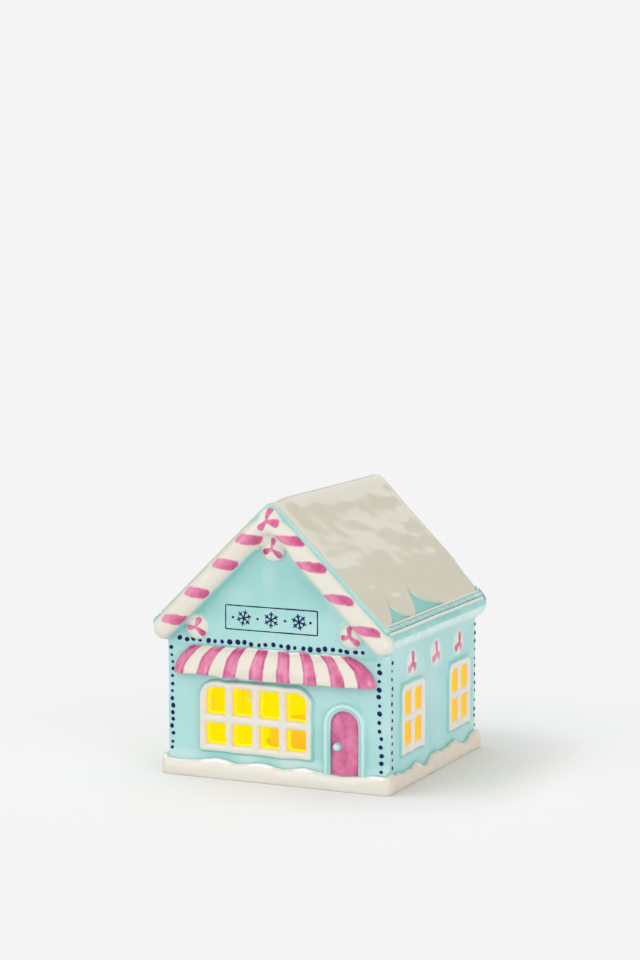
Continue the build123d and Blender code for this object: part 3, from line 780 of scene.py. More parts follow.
def wallPale(side, u, v):
    half = halfWidth if side in ("front", "back") else halfDepth
    paleAndLit = fadeOut(half - np.abs(u), paleLook["edgeReach"]) * paleLook["edge"]
    if side == "front":  # painted light beside the right cane, and paler just over the bank
        beside = fadeOut(caneField(u, v), paleLook["caneReach"]) * ramp(u, *paleLook["caneFade"])
        paleAndLit = paleAndLit + paleLook["cane"] * beside + paleLook["bank"] * ramp(v, *paleLook["bankFade"])
    drift = softNoise(u, v, paleLook["cloudSize"], paleLook["seed"]) - paleLook["cloudFrom"]
    return np.clip(paleAndLit + drift * paleLook["cloud"], 0, 1)


cast = {"soft": 1.8, "step": 0.6, "wave": 0.16, "waveSize": 11, "gableSeed": 3, "sideSeed": 5, "fillet": 1.1,
        "frontFillet": 0.75, "sideFillet": 0.5, "calm": 4, "shopSeat": 1.4, "doorSeat": 0.4,
        "windowSeat": 1.6, "trimShare": 0.8, "caneGap": 0.3}


def castWall(side, field, height, area):
    place, flip = wallFaces[side]
    reliefPiece(side + "Wall", field, height, area, cast["step"], wallThick, place, [aquaGlaze, litBisque],
                side + "_wall", flip,
                {"poolAndShade": lambda u, v: wallPool(side, u, v), "paleAndLit": lambda u, v: wallPale(side, u, v)})


def makeGableWall(side):
    def field(u, v):
        d = gableField(u, v)
        if side == "front":
            d = np.maximum(d, -(shopField(u, v) + cast["shopSeat"]))
            d = np.maximum(d, -(doorField(u, v) + cast["doorSeat"]))
        return d

    def height(u, v):
        rise = swing(u, v, cast["waveSize"], cast["gableSeed"], cast["wave"])
        if side == "front":  # slip gathers in a fillet round whatever stands out
            near = [shopField(u, v), doorField(u, v, door["trim"] * cast["trimShare"]),
                    caneField(u, v) + cast["caneGap"], discField(u, v, mints["gable"], mints["radius"]),
                    discField(np.abs(u), v, mints["eave"], mints["radius"])]
            rise = rise + cast["frontFillet"] * fadeOut(np.minimum.reduce(near), cast["fillet"])
        return rise - cast["soft"] * (1 - roundEdge(halfWidth - np.abs(u), cast["soft"]))

    castWall(side, field, height, ((-halfWidth, wallFoot), (halfWidth, ceilingPeak)))


def makeSideWall(side):
    reach, top = halfDepth - wallThick, sideHigh[2]

    def field(u, v):
        d = np.maximum(np.abs(u) - reach, np.maximum(wallFoot - v, v - top))
        for c in sideWindow["centres"]:
            d = np.maximum(d, -(sideWindowField(u, v, c) + cast["windowSeat"]))
        return d

    def height(u, v):
        calm = ramp(reach - np.abs(u), 0, cast["calm"])
        near = np.minimum.reduce([sideWindowField(u, v, c) for c in sideWindow["centres"]])
        wave = swing(u, v, cast["waveSize"], cast["sideSeed"], cast["wave"]) * calm
        return wave + cast["sideFillet"] * fadeOut(near, cast["fillet"])

    castWall(side, field, height, ((-reach, wallFoot), (reach, top)))


for gableSide in ("front", "back"):
    makeGableWall(gableSide)
for longSide in ("right", "left"):
    makeSideWall(longSide)
print("walls made")


# Window frames: soft bars round lit panes
bars = {"step": 0.42, "paneRound": 0.9, "cornerShare": 0.62, "cornerFrom": 2, "wave": 0.32, "ripple": 0.14,
        "outerWave": 0.5, "rimPower": 1.5, "lipShare": 0.35, "past": 0.4, "rings": (0.2, 0.45, 0.75, 1.0)}


def windowPanes(spec, low, high):
    # Each pane's low and high corners, and which upper corner is well rounded: -1 left, 1 right, 0 none
    columns = spec["columns"]
    wide = (high[0] - low[0] - 2 * spec["border"] - (columns - 1) * spec["bar"]) / columns
    split = low[1] + spec["sill"] + spec["lower"]
    for i in range(columns):
        u = low[0] + spec["border"] + i * (wide + spec["bar"])
        turned = {0: -1, columns - 1: 1}.get(i, 0)
        yield (u, low[1] + spec["sill"]), (u + wide, split), 0
        yield (u, split + spec["cross"]), (u + wide, high[1] - spec["head"]), turned


def makeWindow(name, node, spec, low, high, side, seed):
    place, flip = wallFaces[side]
    panes = list(windowPanes(spec, low, high))

    def paneField(u, v):
        best = np.full(u.shape, np.inf)
        for paneLow, paneHigh, turned in panes:
            corner = np.full(u.shape, bars["paneRound"])
            if turned:
                beyond = (u - (paneLow[0] + paneHigh[0]) / 2) * turned > 0
                wide = beyond & (v > paneLow[1] + bars["cornerFrom"])
                corner = np.where(wide, spec["cornerTop"] * bars["cornerShare"], bars["paneRound"])
            best = np.minimum(best, boxField(u, v, paneLow, paneHigh, corner, corner))
        return best + (swing(u, v, 3.1, seed, bars["wave"]) + swing(u, v, 1.3, seed + 1, bars["ripple"]))

    def outer(u, v):
        wave = swing(u, v, 3.7, seed + 2, bars["outerWave"])
        return boxField(u, v, low, high, spec["cornerFoot"], spec["cornerTop"]) + wave

    def field(u, v):
        return np.maximum(outer(u, v) - spec["skirt"], -paneField(u, v))

    def height(u, v):
        rim = roundEdge(spec["skirt"] - outer(u, v), spec["skirt"] + spec["soft"]) ** bars["rimPower"]
        lip = roundEdge(paneField(u, v), spec["soft"])
        return spec["proud"] * np.minimum(rim, bars["lipShare"] + (1 - bars["lipShare"]) * lip)

    margin = 2
    area = ((low[0] - margin, low[1] - margin), (high[0] + margin, high[1] + margin))
    reliefPiece(name, field, height, area, bars["step"], wallThick + bars["past"], place,
                [windowGlaze if side == "front" else sideGlaze, litBisque], node, flip,
                {"skirt": lambda u, v: ramp(outer(u, v), -0.9, 0.5),
                 "poolAndShade": lambda u, v: ramp(outer(u, v), -1.0, 0.2) * 0.8}, bars["rings"])


revealLook = {"aquaSeed": 6.1, "size": 0.009, "seed": 7.7, "drift": (0.35, 0.5), "skirt": (0.2, 0.3, 0.8),
              "turn": (0.02, 0.12), "deepen": (0.1, 0.5), "light": (0.02, 0.16), "glow": 0.74, "gloss": 0.15,
              "bump": 0.3}


def makeWindowGlaze(name, lip, deep):
    # Ivory outside; the reveals are painted with the lamp's glow, orange at the lip and brighter further in
    material, tree, shader = newMaterial(name)
    aqua = aquaWash(tree, revealLook["aquaSeed"])[0]
    own = cloud(tree, revealLook["size"], revealLook["seed"])
    middle, amount = revealLook["drift"]
    ivory = mixColour(tree, drifting(tree, middle, own.outputs["Drift"], amount),
                      rgba(glazes["cream"]), rgba(glazes["creamWarm"]))
    face = mixColour(tree, looseMask(tree, "skirt", own, *revealLook["skirt"]), ivory, aqua)
    depth = attribute(tree, "depth")
    # Deeper in, the reveals turn to the painted lamp-lit yellow
    face = mixColour(tree, stepNode(tree, depth, *revealLook["turn"]), face, rgba(glazes["bisqueLit"]))
    finishGlaze(tree, shader, face, own, revealLook["gloss"], revealLook["bump"])
    deepen = stepNode(tree, depth, *revealLook["deepen"])
    tint = mixColour(tree, deepen, rgba(linear(lip)), rgba(linear(deep)))
    tree.links.new(tint, shader.inputs["Emission Color"])
    glow = mathNode(tree, "MULTIPLY", stepNode(tree, depth, *revealLook["light"]), revealLook["glow"])
    tree.links.new(glow, shader.inputs["Emission Strength"])
    return material


windowGlaze = makeWindowGlaze("windowGlaze", "F6A94A", "EAE200")
sideGlaze = makeWindowGlaze("sideWindowGlaze", "F3A448", "FBB325")
makeWindow("shopWindow", "shop_window", shop, shop["low"], shop["high"], "front", 41)
for longSide in ("right", "left"):
    for part, windowCentre, windowSeed in zip(("front", "rear"), sideWindow["centres"], (58, 57)):
        makeWindow(longSide + part.title() + "Window", f"{longSide}_window_{part}", sideWindow,
                   *sideWindowBox(windowCentre), longSide, windowSeed)
print("windows made")


# Door: a brushed pink panel in a rounded arch of trim

def makeDoorPanel():
    middle, foot, spring = door["middle"], door["foot"], door["spring"]

    def field(u, v):
        return archField(u, v, middle, door["half"] + door["lap"], foot - door["below"], spring)

    def height(u, v):
        belly = door["belly"] * roundEdge(-doorField(u, v), door["bellyEdge"])
        return -door["sunk"] + belly + swing(u, v, 4, 60, 0.15)

    def tone(u, v):  # deeper in the brush's grain, along the edge and towards the foot
        grain = 0.34 + 0.5 * (softNoise(u * 0.6, v * 0.25, 1.6, 61) - 0.5)
        return np.clip(grain + 0.35 * fadeOut(-doorField(u, v), 0.9) + 0.18 * ramp(v, 26, 8), 0, 1)

    area = ((middle - 8, foot - 3), (middle + 8, spring + 8))
    reliefPiece("doorPanel", field, height, area, door["panelStep"],
                wallThick - door["sunk"], onFront, [creamGlaze, litBisque], "door_panel", False,
                {"paint": even(1), "tone": tone})


def makeDoorTrim():
    middle, foot, spring = door["middle"], door["foot"], door["spring"]
    half, apron = door["trim"] * door["beadShare"], door["apron"]

    def bead(u, v):
        return np.abs(archField(u, v, middle, door["half"] + half, foot - 30, spring)) - half

    def field(u, v):
        return np.maximum(bead(u, v) - apron + swing(u, v, 3, 63, 0.3), foot - door["below"] - v)

    def height(u, v):
        t = np.clip((bead(u, v) + half) / (half + apron), 0, 1)
        return door["proud"] * np.maximum(0, 1 - t * t) ** 1.1 + swing(u, v, 2.5, 64, 0.3) * (1 - t)

    area = ((middle - 12, foot - 3), (middle + 12, spring + 12))
    reliefPiece("doorTrim", field, height, area, door["trimStep"], door["trimDeep"], onFront,
                [aquaGlaze, aquaGlaze], "door_trim", False,
                {"poolAndShade": lambda u, v: ramp(bead(u, v), -1.1, 0.3) * 0.9,
                 "paleAndLit": lambda u, v: ramp(-bead(u, v), 0.5, 1.4) * 0.75})


def makeDoorKnob():
    (x, z), r = door["knob"], door["knobRadius"]

    def field(u, v):
        return discField(u, v, door["knob"], r)

    def height(u, v):
        return -door["knobSunk"] + door["knobRise"] * roundEdge(-field(u, v), r) ** 1.1

    area = ((x - r, z - r), (x + r, z + r))
    reliefPiece("doorKnob", field, height, area, door["knobStep"], door["knobDeep"], onFront,
                [aquaGlaze, aquaGlaze], "door_knob", False,
                {"poolAndShade": lambda u, v: ramp(field(u, v), -0.7, 0.0) * 0.7,
                 "paleAndLit": lambda u, v: ramp(-field(u, v), 0.3, 1.0) * 0.7})


makeDoorPanel()
makeDoorTrim()
makeDoorKnob()
print("door made")


# Candy canes: one soft pleat over the gable with slanting brush strokes
strokes = {"left": {"middles": [(-8.8, 93.8), (-18.4, 83.9), (-30.5, 72.3), (-40.1, 61.3)], "half": 2.2,
                    "thinShare": 0.85, "way": -1, "droop": 0.12, "land": 2.8},
           "right": {"middles": [(8.3, 94.4), (17.1, 85.0), (28.5, 73.5), (39.4, 62.4)], "half": 1.95,
                     "thinShare": 0.62, "way": 1, "droop": 0.06, "land": 1.6},
           "halfLong": 5.7, "slant": 0.75, "endRound": 1.6, "edge": (-0.7, 0.9), "wander": 0.9, "seed": 80,
           "apex": (-0.5, 101.2), "apexBlades": ((76, 5.4, 1.35), (232, 4.6, 1.85), (-9, 5.3, 2.2))}


def roundTip(along, length, radius):
    # 1 along a stroke, falling to 0 in a quarter round at its end
    return np.sqrt(np.maximum(0, 1 - np.clip((along - length + radius) / radius, 0, 1) ** 2))


def bladeMask(u, v, hub, blades, root=0.5):
    # Brush blades round a hub, each with its angle, length and half width at the tip
    ragged = swing(u, v, 1.7, 71, 0.5) * 0.5
    best = np.zeros(u.shape)
    for angle, length, half in blades:
        ca, sa = math.cos(math.radians(angle)), math.sin(math.radians(angle))
        along = (u - hub[0]) * ca + (v - hub[1]) * sa
        across = (v - hub[1]) * ca - (u - hub[0]) * sa + 0.05 * along * along / length
        wide = root + (half - root) * np.clip(along / length, 0, 1)
        d = np.maximum(np.abs(across) - wide * roundTip(along, length, half), -along - 0.25) + ragged
        best = np.maximum(best, ramp(-d, -0.35, 0.4) * (along < length + 0.3))
    return best


def strokeMask(u, v):
    # Coverage and tone of the strokes: thin and pale where the brush lands, full and deep where it lifts
    best, tone = np.zeros(u.shape), np.full(u.shape, 0.5)
    long = strokes["halfLong"]
    for stroke in (strokes["left"], strokes["right"]):
        for k, (mu, mv) in enumerate(stroke["middles"]):
            along = u - mu + stroke["way"] * strokes["slant"] * (v - mv)
            across = v - mv + stroke["droop"] * (u - mu)
            uneven = swing(u, v, 2.2, strokes["seed"] + k, strokes["wander"])
            thin = stroke["thinShare"]
            half = stroke["half"] * (thin + (1 - thin) * ramp(along, -long, 0.0))
            d = np.abs(across) - half * roundTip(along, long, strokes["endRound"]) + uneven * 0.4
            landing = ramp(along + long + uneven, -0.4, stroke["land"])
            mask = ramp(-d, *strokes["edge"]) * landing * (along < long + 0.3)
            blot = 0.25 * np.exp(-((along - 3.0) ** 2 + across ** 2) / 3.0)
            tone = np.where(mask > best, np.clip(0.28 + along * 0.08 + blot, 0.05, 1), tone)
            best = np.maximum(best, mask)
    return best, tone


def caneHeight(u, v):
    t = np.clip((caneField(u, v) + cane["half"]) / (cane["half"] + cane["skirt"]), 0, 1)
    near = ramp(discField(u, v, mints["gable"], 0), 10.5, 4.5)  # eases into the peppermint under the apex
    swell = cane["rise"] * np.maximum(0, 1 - t ** (3.2 - 1.6 * near)) ** (0.6 + 0.5 * near)
    return swell + swing(u, v, 3.2, 91, 0.4) * (1 - t)


def makeCanes():
    def field(u, v):
        return caneField(u, v) - cane["skirt"] + swing(u, v, 5, 90, 0.3)

    def paint(u, v):
        return np.maximum(strokeMask(u, v)[0], bladeMask(u, v, strokes["apex"], strokes["apexBlades"]))

    def wash(u, v):
        # The wall's wash runs a little way up the cane's inner flank, except at the peppermint
        inner = ramp(np.abs(u) * slope + v, cane["peak"] + 2, cane["peak"] - 3)
        bare = ramp(discField(u, v, mints["gable"], 0), 7.5, 5.0)
        return ramp(caneField(u, v), -0.7 - 0.9 * inner, 0.4) * (1 - bare)

    edge, margin = cane["endAcross"] + cane["margin"], cane["margin"]
    area = ((-edge, cane["endUp"] - margin), (edge, cane["peak"] + margin))
    reliefPiece("candyCanes", field, caneHeight, area, cane["step"], 0.0, onFront, [creamGlaze, creamGlaze],
                ["candy_cane_right", "candy_cane_left"], False,
                {"paint": paint, "tone": lambda u, v: strokeMask(u, v)[1], "skirt": wash,
                 # On the left cane the foot is pooled darker and the ivory warmer, on the right the foot is
                 # paler: painted shade and painted light for a key on the left
                 "poolAndShade": lambda u, v: 0.45 * ramp(caneField(u, v), -1.0, 0.2) * ramp(u, 10, -4),
                 "paleAndLit": lambda u, v: 0.5 * ramp(u, 2, 12),
                 "warm": lambda u, v: 0.22 * ramp(u, 2, -14)}, (1.0,))


makeCanes()


# Peppermints: shallow cream drops with three pink blades

def makeMint(name, node, middle, radius, rise, side, blades, faint=0.0, lean=0.0):
    # faint flattens a drop that is mostly painted; lean is how much it rides up on the cane beside it
    place, flip = wallFaces[side]
    seed = len(name) + int(abs(middle[0]))

    def disc(u, v):
        return discField(u, v, middle, radius)

    def offCane(u, v):
        return ramp(caneField(u, v), -2.2, 1.0) if lean else np.ones(u.shape)

    def field(u, v):
        return discField(u, v, middle, radius + mints["skirt"]) + swing(u, v, 3, seed, 0.5)

    def height(u, v):
        t = np.clip((disc(u, v) + radius) / (radius + mints["skirt"]), 0, 1)
        lump = swing(u, v, 2.2, seed, 0.3) * (1 - t)
        dome = rise * np.maximum(0, 1 - t ** 2.4) ** (0.75 + 0.5 * faint) + lump
        return dome * (0.1 + 0.9 * offCane(u, v)) + lean * caneHeight(u, v) if lean else dome

    def paint(u, v):
        blade = bladeMask(u, v, middle, blades, 0.5 + 0.35 * faint)
        return np.maximum(blade, strokeMask(u, v)[0] * ramp(caneField(u, v), 0.3, -0.5)) if lean else blade

    reach = radius + mints["margin"]
    area = ((middle[0] - reach, middle[1] - reach), (middle[0] + reach, middle[1] + reach))
    reliefPiece(name, field, height, area, mints["step"], mints["sunk"], place, [creamGlaze, creamGlaze],
                node, flip,
                {"paint": paint,
                 "tone": lambda u, v: np.clip(0.45 + swing(u, v, 2.4, seed + 5, 1.1), 0, 1),
                 "skirt": lambda u, v: ramp(disc(u, v), -0.8 - 0.9 * faint, 0.7) * offCane(u, v),
                 "poolAndShade": lambda u, v: ramp(disc(u, v), -0.5, 0.3) * 0.3 * (1 - faint),
                 "paleAndLit": even(0.35 + 0.2 * faint)}, (1.0,))


eaveX, eaveZ = mints["eave"]
leftX, leftZ = mints["leftShift"]
makeMint("gablePeppermint", "gable_peppermint", mints["gable"], mints["gableRadius"], mints["gableRise"],
         "front", ((76, 4.9, 1.3), (206, 4.2, 1.7), (-36, 5.0, 1.7)), 0.0, 1.0)
makeMint("frontPeppermintRight", "front_peppermint_right", (eaveX, eaveZ), mints["radius"], mints["eaveRise"],
         "front", ((98, 4.0, 1.6), (196, 4.0, 1.4), (-40, 4.6, 1.7)), 0.0, 0.5)
makeMint("frontPeppermintLeft", "front_peppermint_left", (-eaveX + leftX, eaveZ + leftZ), mints["radius"],
         mints["eaveRise"], "front", ((68, 4.0, 1.7), (192, 4.0, 1.4), (-38, 4.7, 1.7)), 0.0, 0.6)
for longSide in ("right", "left"):
    for part, along, bend in zip(("front", "middle", "rear"), mints["sideAlong"], (0, 6, -5)):
        makeMint(longSide + part.title() + "Peppermint", f"{longSide}_peppermint_{part}",
                 (along, mints["sideUp"]), mints["sideRadius"], mints["sideRise"], longSide,
                 ((84 + bend, 5.0, 1.9), (218 + bend, 4.9, 2.0), (-36 + bend, 4.9, 2.0)), 1.0)
print("canes and peppermints made")


# Rake board behind the canes
board = {"proud": 4.0, "lip": -0.05, "leftDrop": 0.7, "edge": 0.7, "round": 2.0, "width": 7.0, "soft": 0.7,
         "leftEnd": 5.0, "rightEnd": 2.5, "foot": 50, "step": 0.6}


def makeRakeBoard():
    top = snowPeak + board["lip"] / slopeCos

    def edgeField(u, v):
        # Distance from the upper edge, negative below it; the edge is rounded over the apex
        drop = board["leftDrop"] * ramp(u, 0, -12)
        return (np.sqrt(u * u + board["round"] ** 2) * slope + v - top) * slopeCos + drop

    def field(u, v):
        d = edgeField(u, v)
        end = eaveHalf - np.where(u < 0, board["leftEnd"], board["rightEnd"])
        return np.maximum(np.maximum(d, -board["width"] - d), np.abs(u) - end)

    def height(u, v):
        return board["proud"] - board["soft"] * (1 - roundEdge(-edgeField(u, v), board["soft"]))

    reliefPiece("rakeBoard", field, height, ((-eaveHalf, board["foot"]), (eaveHalf, top)), board["step"], 0.0,
                onFront, [aquaGlaze, aquaGlaze], "rake_board", False,
                {"poolAndShade": even(0.55), "paleAndLit": lambda u, v: ramp(edgeField(u, v), -1.2, 0.0) * 0.35}, (1.0,))


makeRakeBoard()


# Frame on the gable: a thin brushed line round three flakes and the dots between them
plaque = {"low": (-20.5, 58.2), "high": (17.8, 67.4), "line": 0.23, "corner": 0.3, "margin": 1,
          "flakes": (-12.8, -1.4, 10.2), "arm": 2.9, "armHalf": 0.28, "kneeShare": 0.58, "twig": 0.95,
          "twigHalf": 0.24, "twigTurn": 0.9, "lean": 0.02, "beads": (-17.4, -7.1, 4.4, 14.9),
          "beadRadius": 0.5, "thick": 0.09, "clear": 0.07, "step": 0.13}


def flakeField(u, v, middle, lean):
    d = np.full(u.shape, np.inf)
    for k in range(6):
        a = math.pi * k / 3 + lean + math.pi / 6
        ca, sa = math.cos(a) * plaque["arm"], math.sin(a) * plaque["arm"]
        tip = (middle[0] + ca, middle[1] + sa)
        knee = (middle[0] + ca * plaque["kneeShare"], middle[1] + sa * plaque["kneeShare"])
        d = np.minimum(d, barField(u, v, middle, tip, plaque["armHalf"]))
        for turn in (-plaque["twigTurn"], plaque["twigTurn"]):  # a twig on each side of the arm
            out, up = math.cos(a + turn) * plaque["twig"], math.sin(a + turn) * plaque["twig"]
            d = np.minimum(d, barField(u, v, knee, (knee[0] + out, knee[1] + up), plaque["twigHalf"]))
    return d


def makePlaque():
    low, high, margin = plaque["low"], plaque["high"], plaque["margin"]
    mid = (low[1] + high[1]) / 2

    def field(u, v):
        d = np.abs(boxField(u, v, low, high, plaque["corner"], plaque["corner"])) - plaque["line"]
        for c in plaque["flakes"]:
            d = np.minimum(d, flakeField(u, v, (c, mid), plaque["lean"] * c))
        for c in plaque["beads"]:
            d = np.minimum(d, discField(u, v, (c, mid), plaque["beadRadius"]))
        return d + swing(u, v, 2.0, 101, 0.08)

    def height(u, v):
        return plaque["thick"] * roundEdge(-field(u, v), 0.3) + plaque["clear"]

    area = ((low[0] - margin, low[1] - margin), (high[0] + margin, high[1] + margin))
    reliefPiece("gableLine", field, height, area, plaque["step"], 0.3, onFront, [navyGlaze, navyGlaze],
                rings=(1.0,))


makePlaque()
print("rake board and gable line made")


# Awning: a swelling fan of pink and cream stripes
underside = [(0.985, -0.30), (0.93, -0.50), (0.80, -0.52), (0.55, -0.36), (0.2, -0.10), (-0.05, 0.0)]


def awningRows():
    # Rows from the wall over the swell and back under: share of the drop, sweep, height, share of the depth
    top, foot = awning["top"], awning["foot"]
    rows = [(0.0, 0.0, top + awning["lap"], 0.0)]
    for share in np.linspace(0, 1, awning["rows"]):
        rows.append((share, np.sin(share * math.pi / 2), top + (foot - top) * share, 1.0))
    return rows + [(1.0, 1.0, foot + drop, part) for part, drop in underside]


def makeAwning():
    n = awning["across"]
    t = np.linspace(-1, 1, n)
    cut = awning["cornerFrom"]
    turn = np.clip((np.abs(t) - cut) / (1 - cut), 0, 1) * math.pi / 2
    start = np.where(t > 0, awning["rightTop"], awning["halfTop"])
    verts, paint, tone, skirt = [], [], [], []
    rows = awningRows()
    for row, (share, sweep, z, part) in enumerate(rows):
        half = start + (awning["halfFoot"] - start) * sweep ** awning["widen"]
        deep = awning["topDepth"] + (awning["footDepth"] - awning["topDepth"]) * sweep ** awning["swell"]
        corner = awning["corner"] * (0.5 + 0.5 * sweep)
        inner = np.abs(t) <= cut
        x = np.where(inner, t / cut * (half - corner), np.sign(t) * (half - corner + corner * np.sin(turn)))
        y = np.where(inner, deep, deep * np.maximum(np.cos(turn), 0) ** awning["cornerPower"])
        level = np.full(n, z)
        wave = swing(x, level, 4.5, 110, 1.0)
        y = y * part * (1 + awning["wave"] * wave) if part >= 0 else np.full(n, part)
        hem, head = awning["footWave"] * ramp(share, 0.75, 1.0), awning["topWave"] * ramp(share, 0.3, 0.0)
        z = z + wave * hem + wave * head
        verts.append(np.stack([x, wallFront - y, z], -1))
        fan = (x / half * 0.5 + 0.5) * awning["stripes"] + swing(x, level, 4.0, 111, awning["stripeWander"])
        gap = np.abs(((fan - 0.5 + 1) % 2) - 1)  # how far from the middle of a pink stripe
        paint.append(ramp(0.5 - gap, -awning["stripeSoft"], awning["stripeSoft"]))
        brush = swing(fan * 6.0, level * 0.35, 1.5, 112, awning["brush"])
        tone.append(np.clip(0.40 + brush + 0.5 * ramp(gap, 0.2, 0.5) - 0.2 * share
                            + 0.25 * ramp(share, 0.25, 0.0), 0, 1))
        skirt.append(np.full(n, {0: 0.9, 1: 0.45}.get(row, 0.0)))
    faces = [[a, a + n, a + n + 1, a + 1] for r in range(len(rows) - 1) for a in range(r * n, r * n + n - 1)]
    skirt = np.concatenate(skirt)
    newPiece("stripedAwning", np.concatenate(verts), faces, [creamGlaze], "awning",
             {"paint": np.concatenate(paint), "tone": np.concatenate(tone), "skirt": skirt, "poolAndShade": skirt,
              "warm": np.full(len(skirt), awning["warm"])}, sharp=60)


makeAwning()
print("awning made")


# Roof: plate, ridged eave band, fascia and slanting soffit in one swept section
eave = {"groove": 47.55, "fasciaFoot": 58.9, "corner": 4.5, "bow": 3.2, "bend": (31, 41), "bendReach": 16,
        "ridge": 0.98, "rings": 120, "cornerRings": 14, "firstTurn": 0.08, "ahead": 0.3, "drawFrom": 43,
        "belly": (4.1, 5.0), "bellySteps": 12, "close": (4.5, 1.0), "closeDrop": 1.0, "sway": 0.22,
        "wash": 0.5, "swayFrom": 44, "swayOver": 3, "fasciaLip": 0.6, "fasciaLift": 0.2,
        "bandEdge": (45.4, 46.2), "bandFoot": 60.35, "indoorGap": 0.5, "plateEnd": (42, 44.5, 45.4),
        "plate": (0.0, 1.0, 2.5, 6, 14, 24, 31, 33, 35, 37, 39, 41)}
# Across the band: x, lift off the snow's plane, then how cream, pooled and pale the glaze is there
eaveBand = [(45.85, -1.25, 0, 0.8, 0.1), (46.02, -0.6, 0, 0.7, 0.2), (46.16, -0.1, 0.7, 0, 0.3),
            (46.38, 0.1, 1, 0, 0.3), (46.6, -0.1, 0.7, 0.3, 0.2), (46.75, -0.45, 0, 0.9, 0),
            (47.0, -0.75, 0, 1, 0), (47.55, -0.85, 0, 1, 0), (48.1, -0.75, 0, 1, 0),
            (48.4, -0.45, 0, 0.9, 0), (48.55, -0.1, 0.7, 0.3, 0.2), (48.85, 0.12, 1, 0, 0.3),
            (49.2, 0.0, 0.75, 0.2, 0.2), (49.5, -0.25, 0, 0.8, 0.1)]


def planeZ(x, peak, ridge=eave["ridge"]):
    return peak - slope * np.sqrt(x * x + ridge * ridge)


def roofInset(y):
    # How far the rounded back corner draws the eave in
    past = np.clip(y - (roofBack - eave["corner"]), 0, eave["corner"])
    return eave["corner"] - np.sqrt(eave["corner"] ** 2 - past ** 2)


def roofShort(x, y):
    # The back edge runs straight down from the ridge and turns in near the eave
    return eave["bow"] * ramp(np.abs(x), *eave["bend"]) * ramp(y, roofBack - eave["bendReach"], roofBack)


def eaveSection():
    # x, z, and how cream, pooled and pale the glaze is there; then whether it faces the inside
    rows = [(x, planeZ(x, platePeak), 0, 0.95, 0.0, 0) for x in (*eave["plate"], *eave["plateEnd"])]
    for x, lift, *glaze in eaveBand:
        rows.append((x + slope * slopeCos * lift, planeZ(x, snowPeak) + slopeCos * lift, *glaze, 0))
    foot = eave["fasciaFoot"]
    tail = [(49.8, 60.4, 0, 1, 0), (eaveHalf - 0.08, 60.1, 0, 1, 0), (eaveHalf, 59.5, 0, 1, 0),
            (eaveHalf, foot, 0, 0.8, 0), (eaveHalf - 0.15, 58.3, 0, 0.2, 0.5)]
    wide, deep = eave["belly"]
    for k in range(2, eave["bellySteps"]):  # a full belly under the fascia, glazed pale: partly its own pale glaze, partly painted light where it faces down
        a = k / eave["bellySteps"] * math.pi / 2
        tail.append((halfWidth + wide * math.cos(a), foot - deep * math.sin(a), 0, 0.0, 0.85))
    tail += [(46.5, foot - deep - 0.25, 0, 0.0, 0.7), (46.12, wallTop + 0.2, 0, 0.2, 0.4),
             (45.8, wallTop, 0, 0.3, 0.3)]
    rows += [(*row, 0) for row in tail]
    inner = sideLow[0]
    rows += [(inner + 0.4, wallTop, 0, 0, 0, 1), (inner, wallTop + 0.4, 0, 0, 0, 1)]
    rows += [(x, ceilingPeak - slope * x, 0, 0, 0, 1) for x in (inner, *eave["plate"][::-1])]
    return rows


def roofCaps(rows, half):
    # The front end is one face; the back edge isn't flat, so it is closed in short strips
    last, count = half - 1, len(eave["plate"]) - 1
    caps = [list(range(count, last - count + 1)), list(range(last + count, rows - count + 1))]
    for j in range(count):
        caps.append([j, j + 1, last - j - 1, last - j])
        caps.append([last + j, last + j + 1, rows - j - 1, (rows - j) % rows])
    return list(range(rows))[::-1], caps


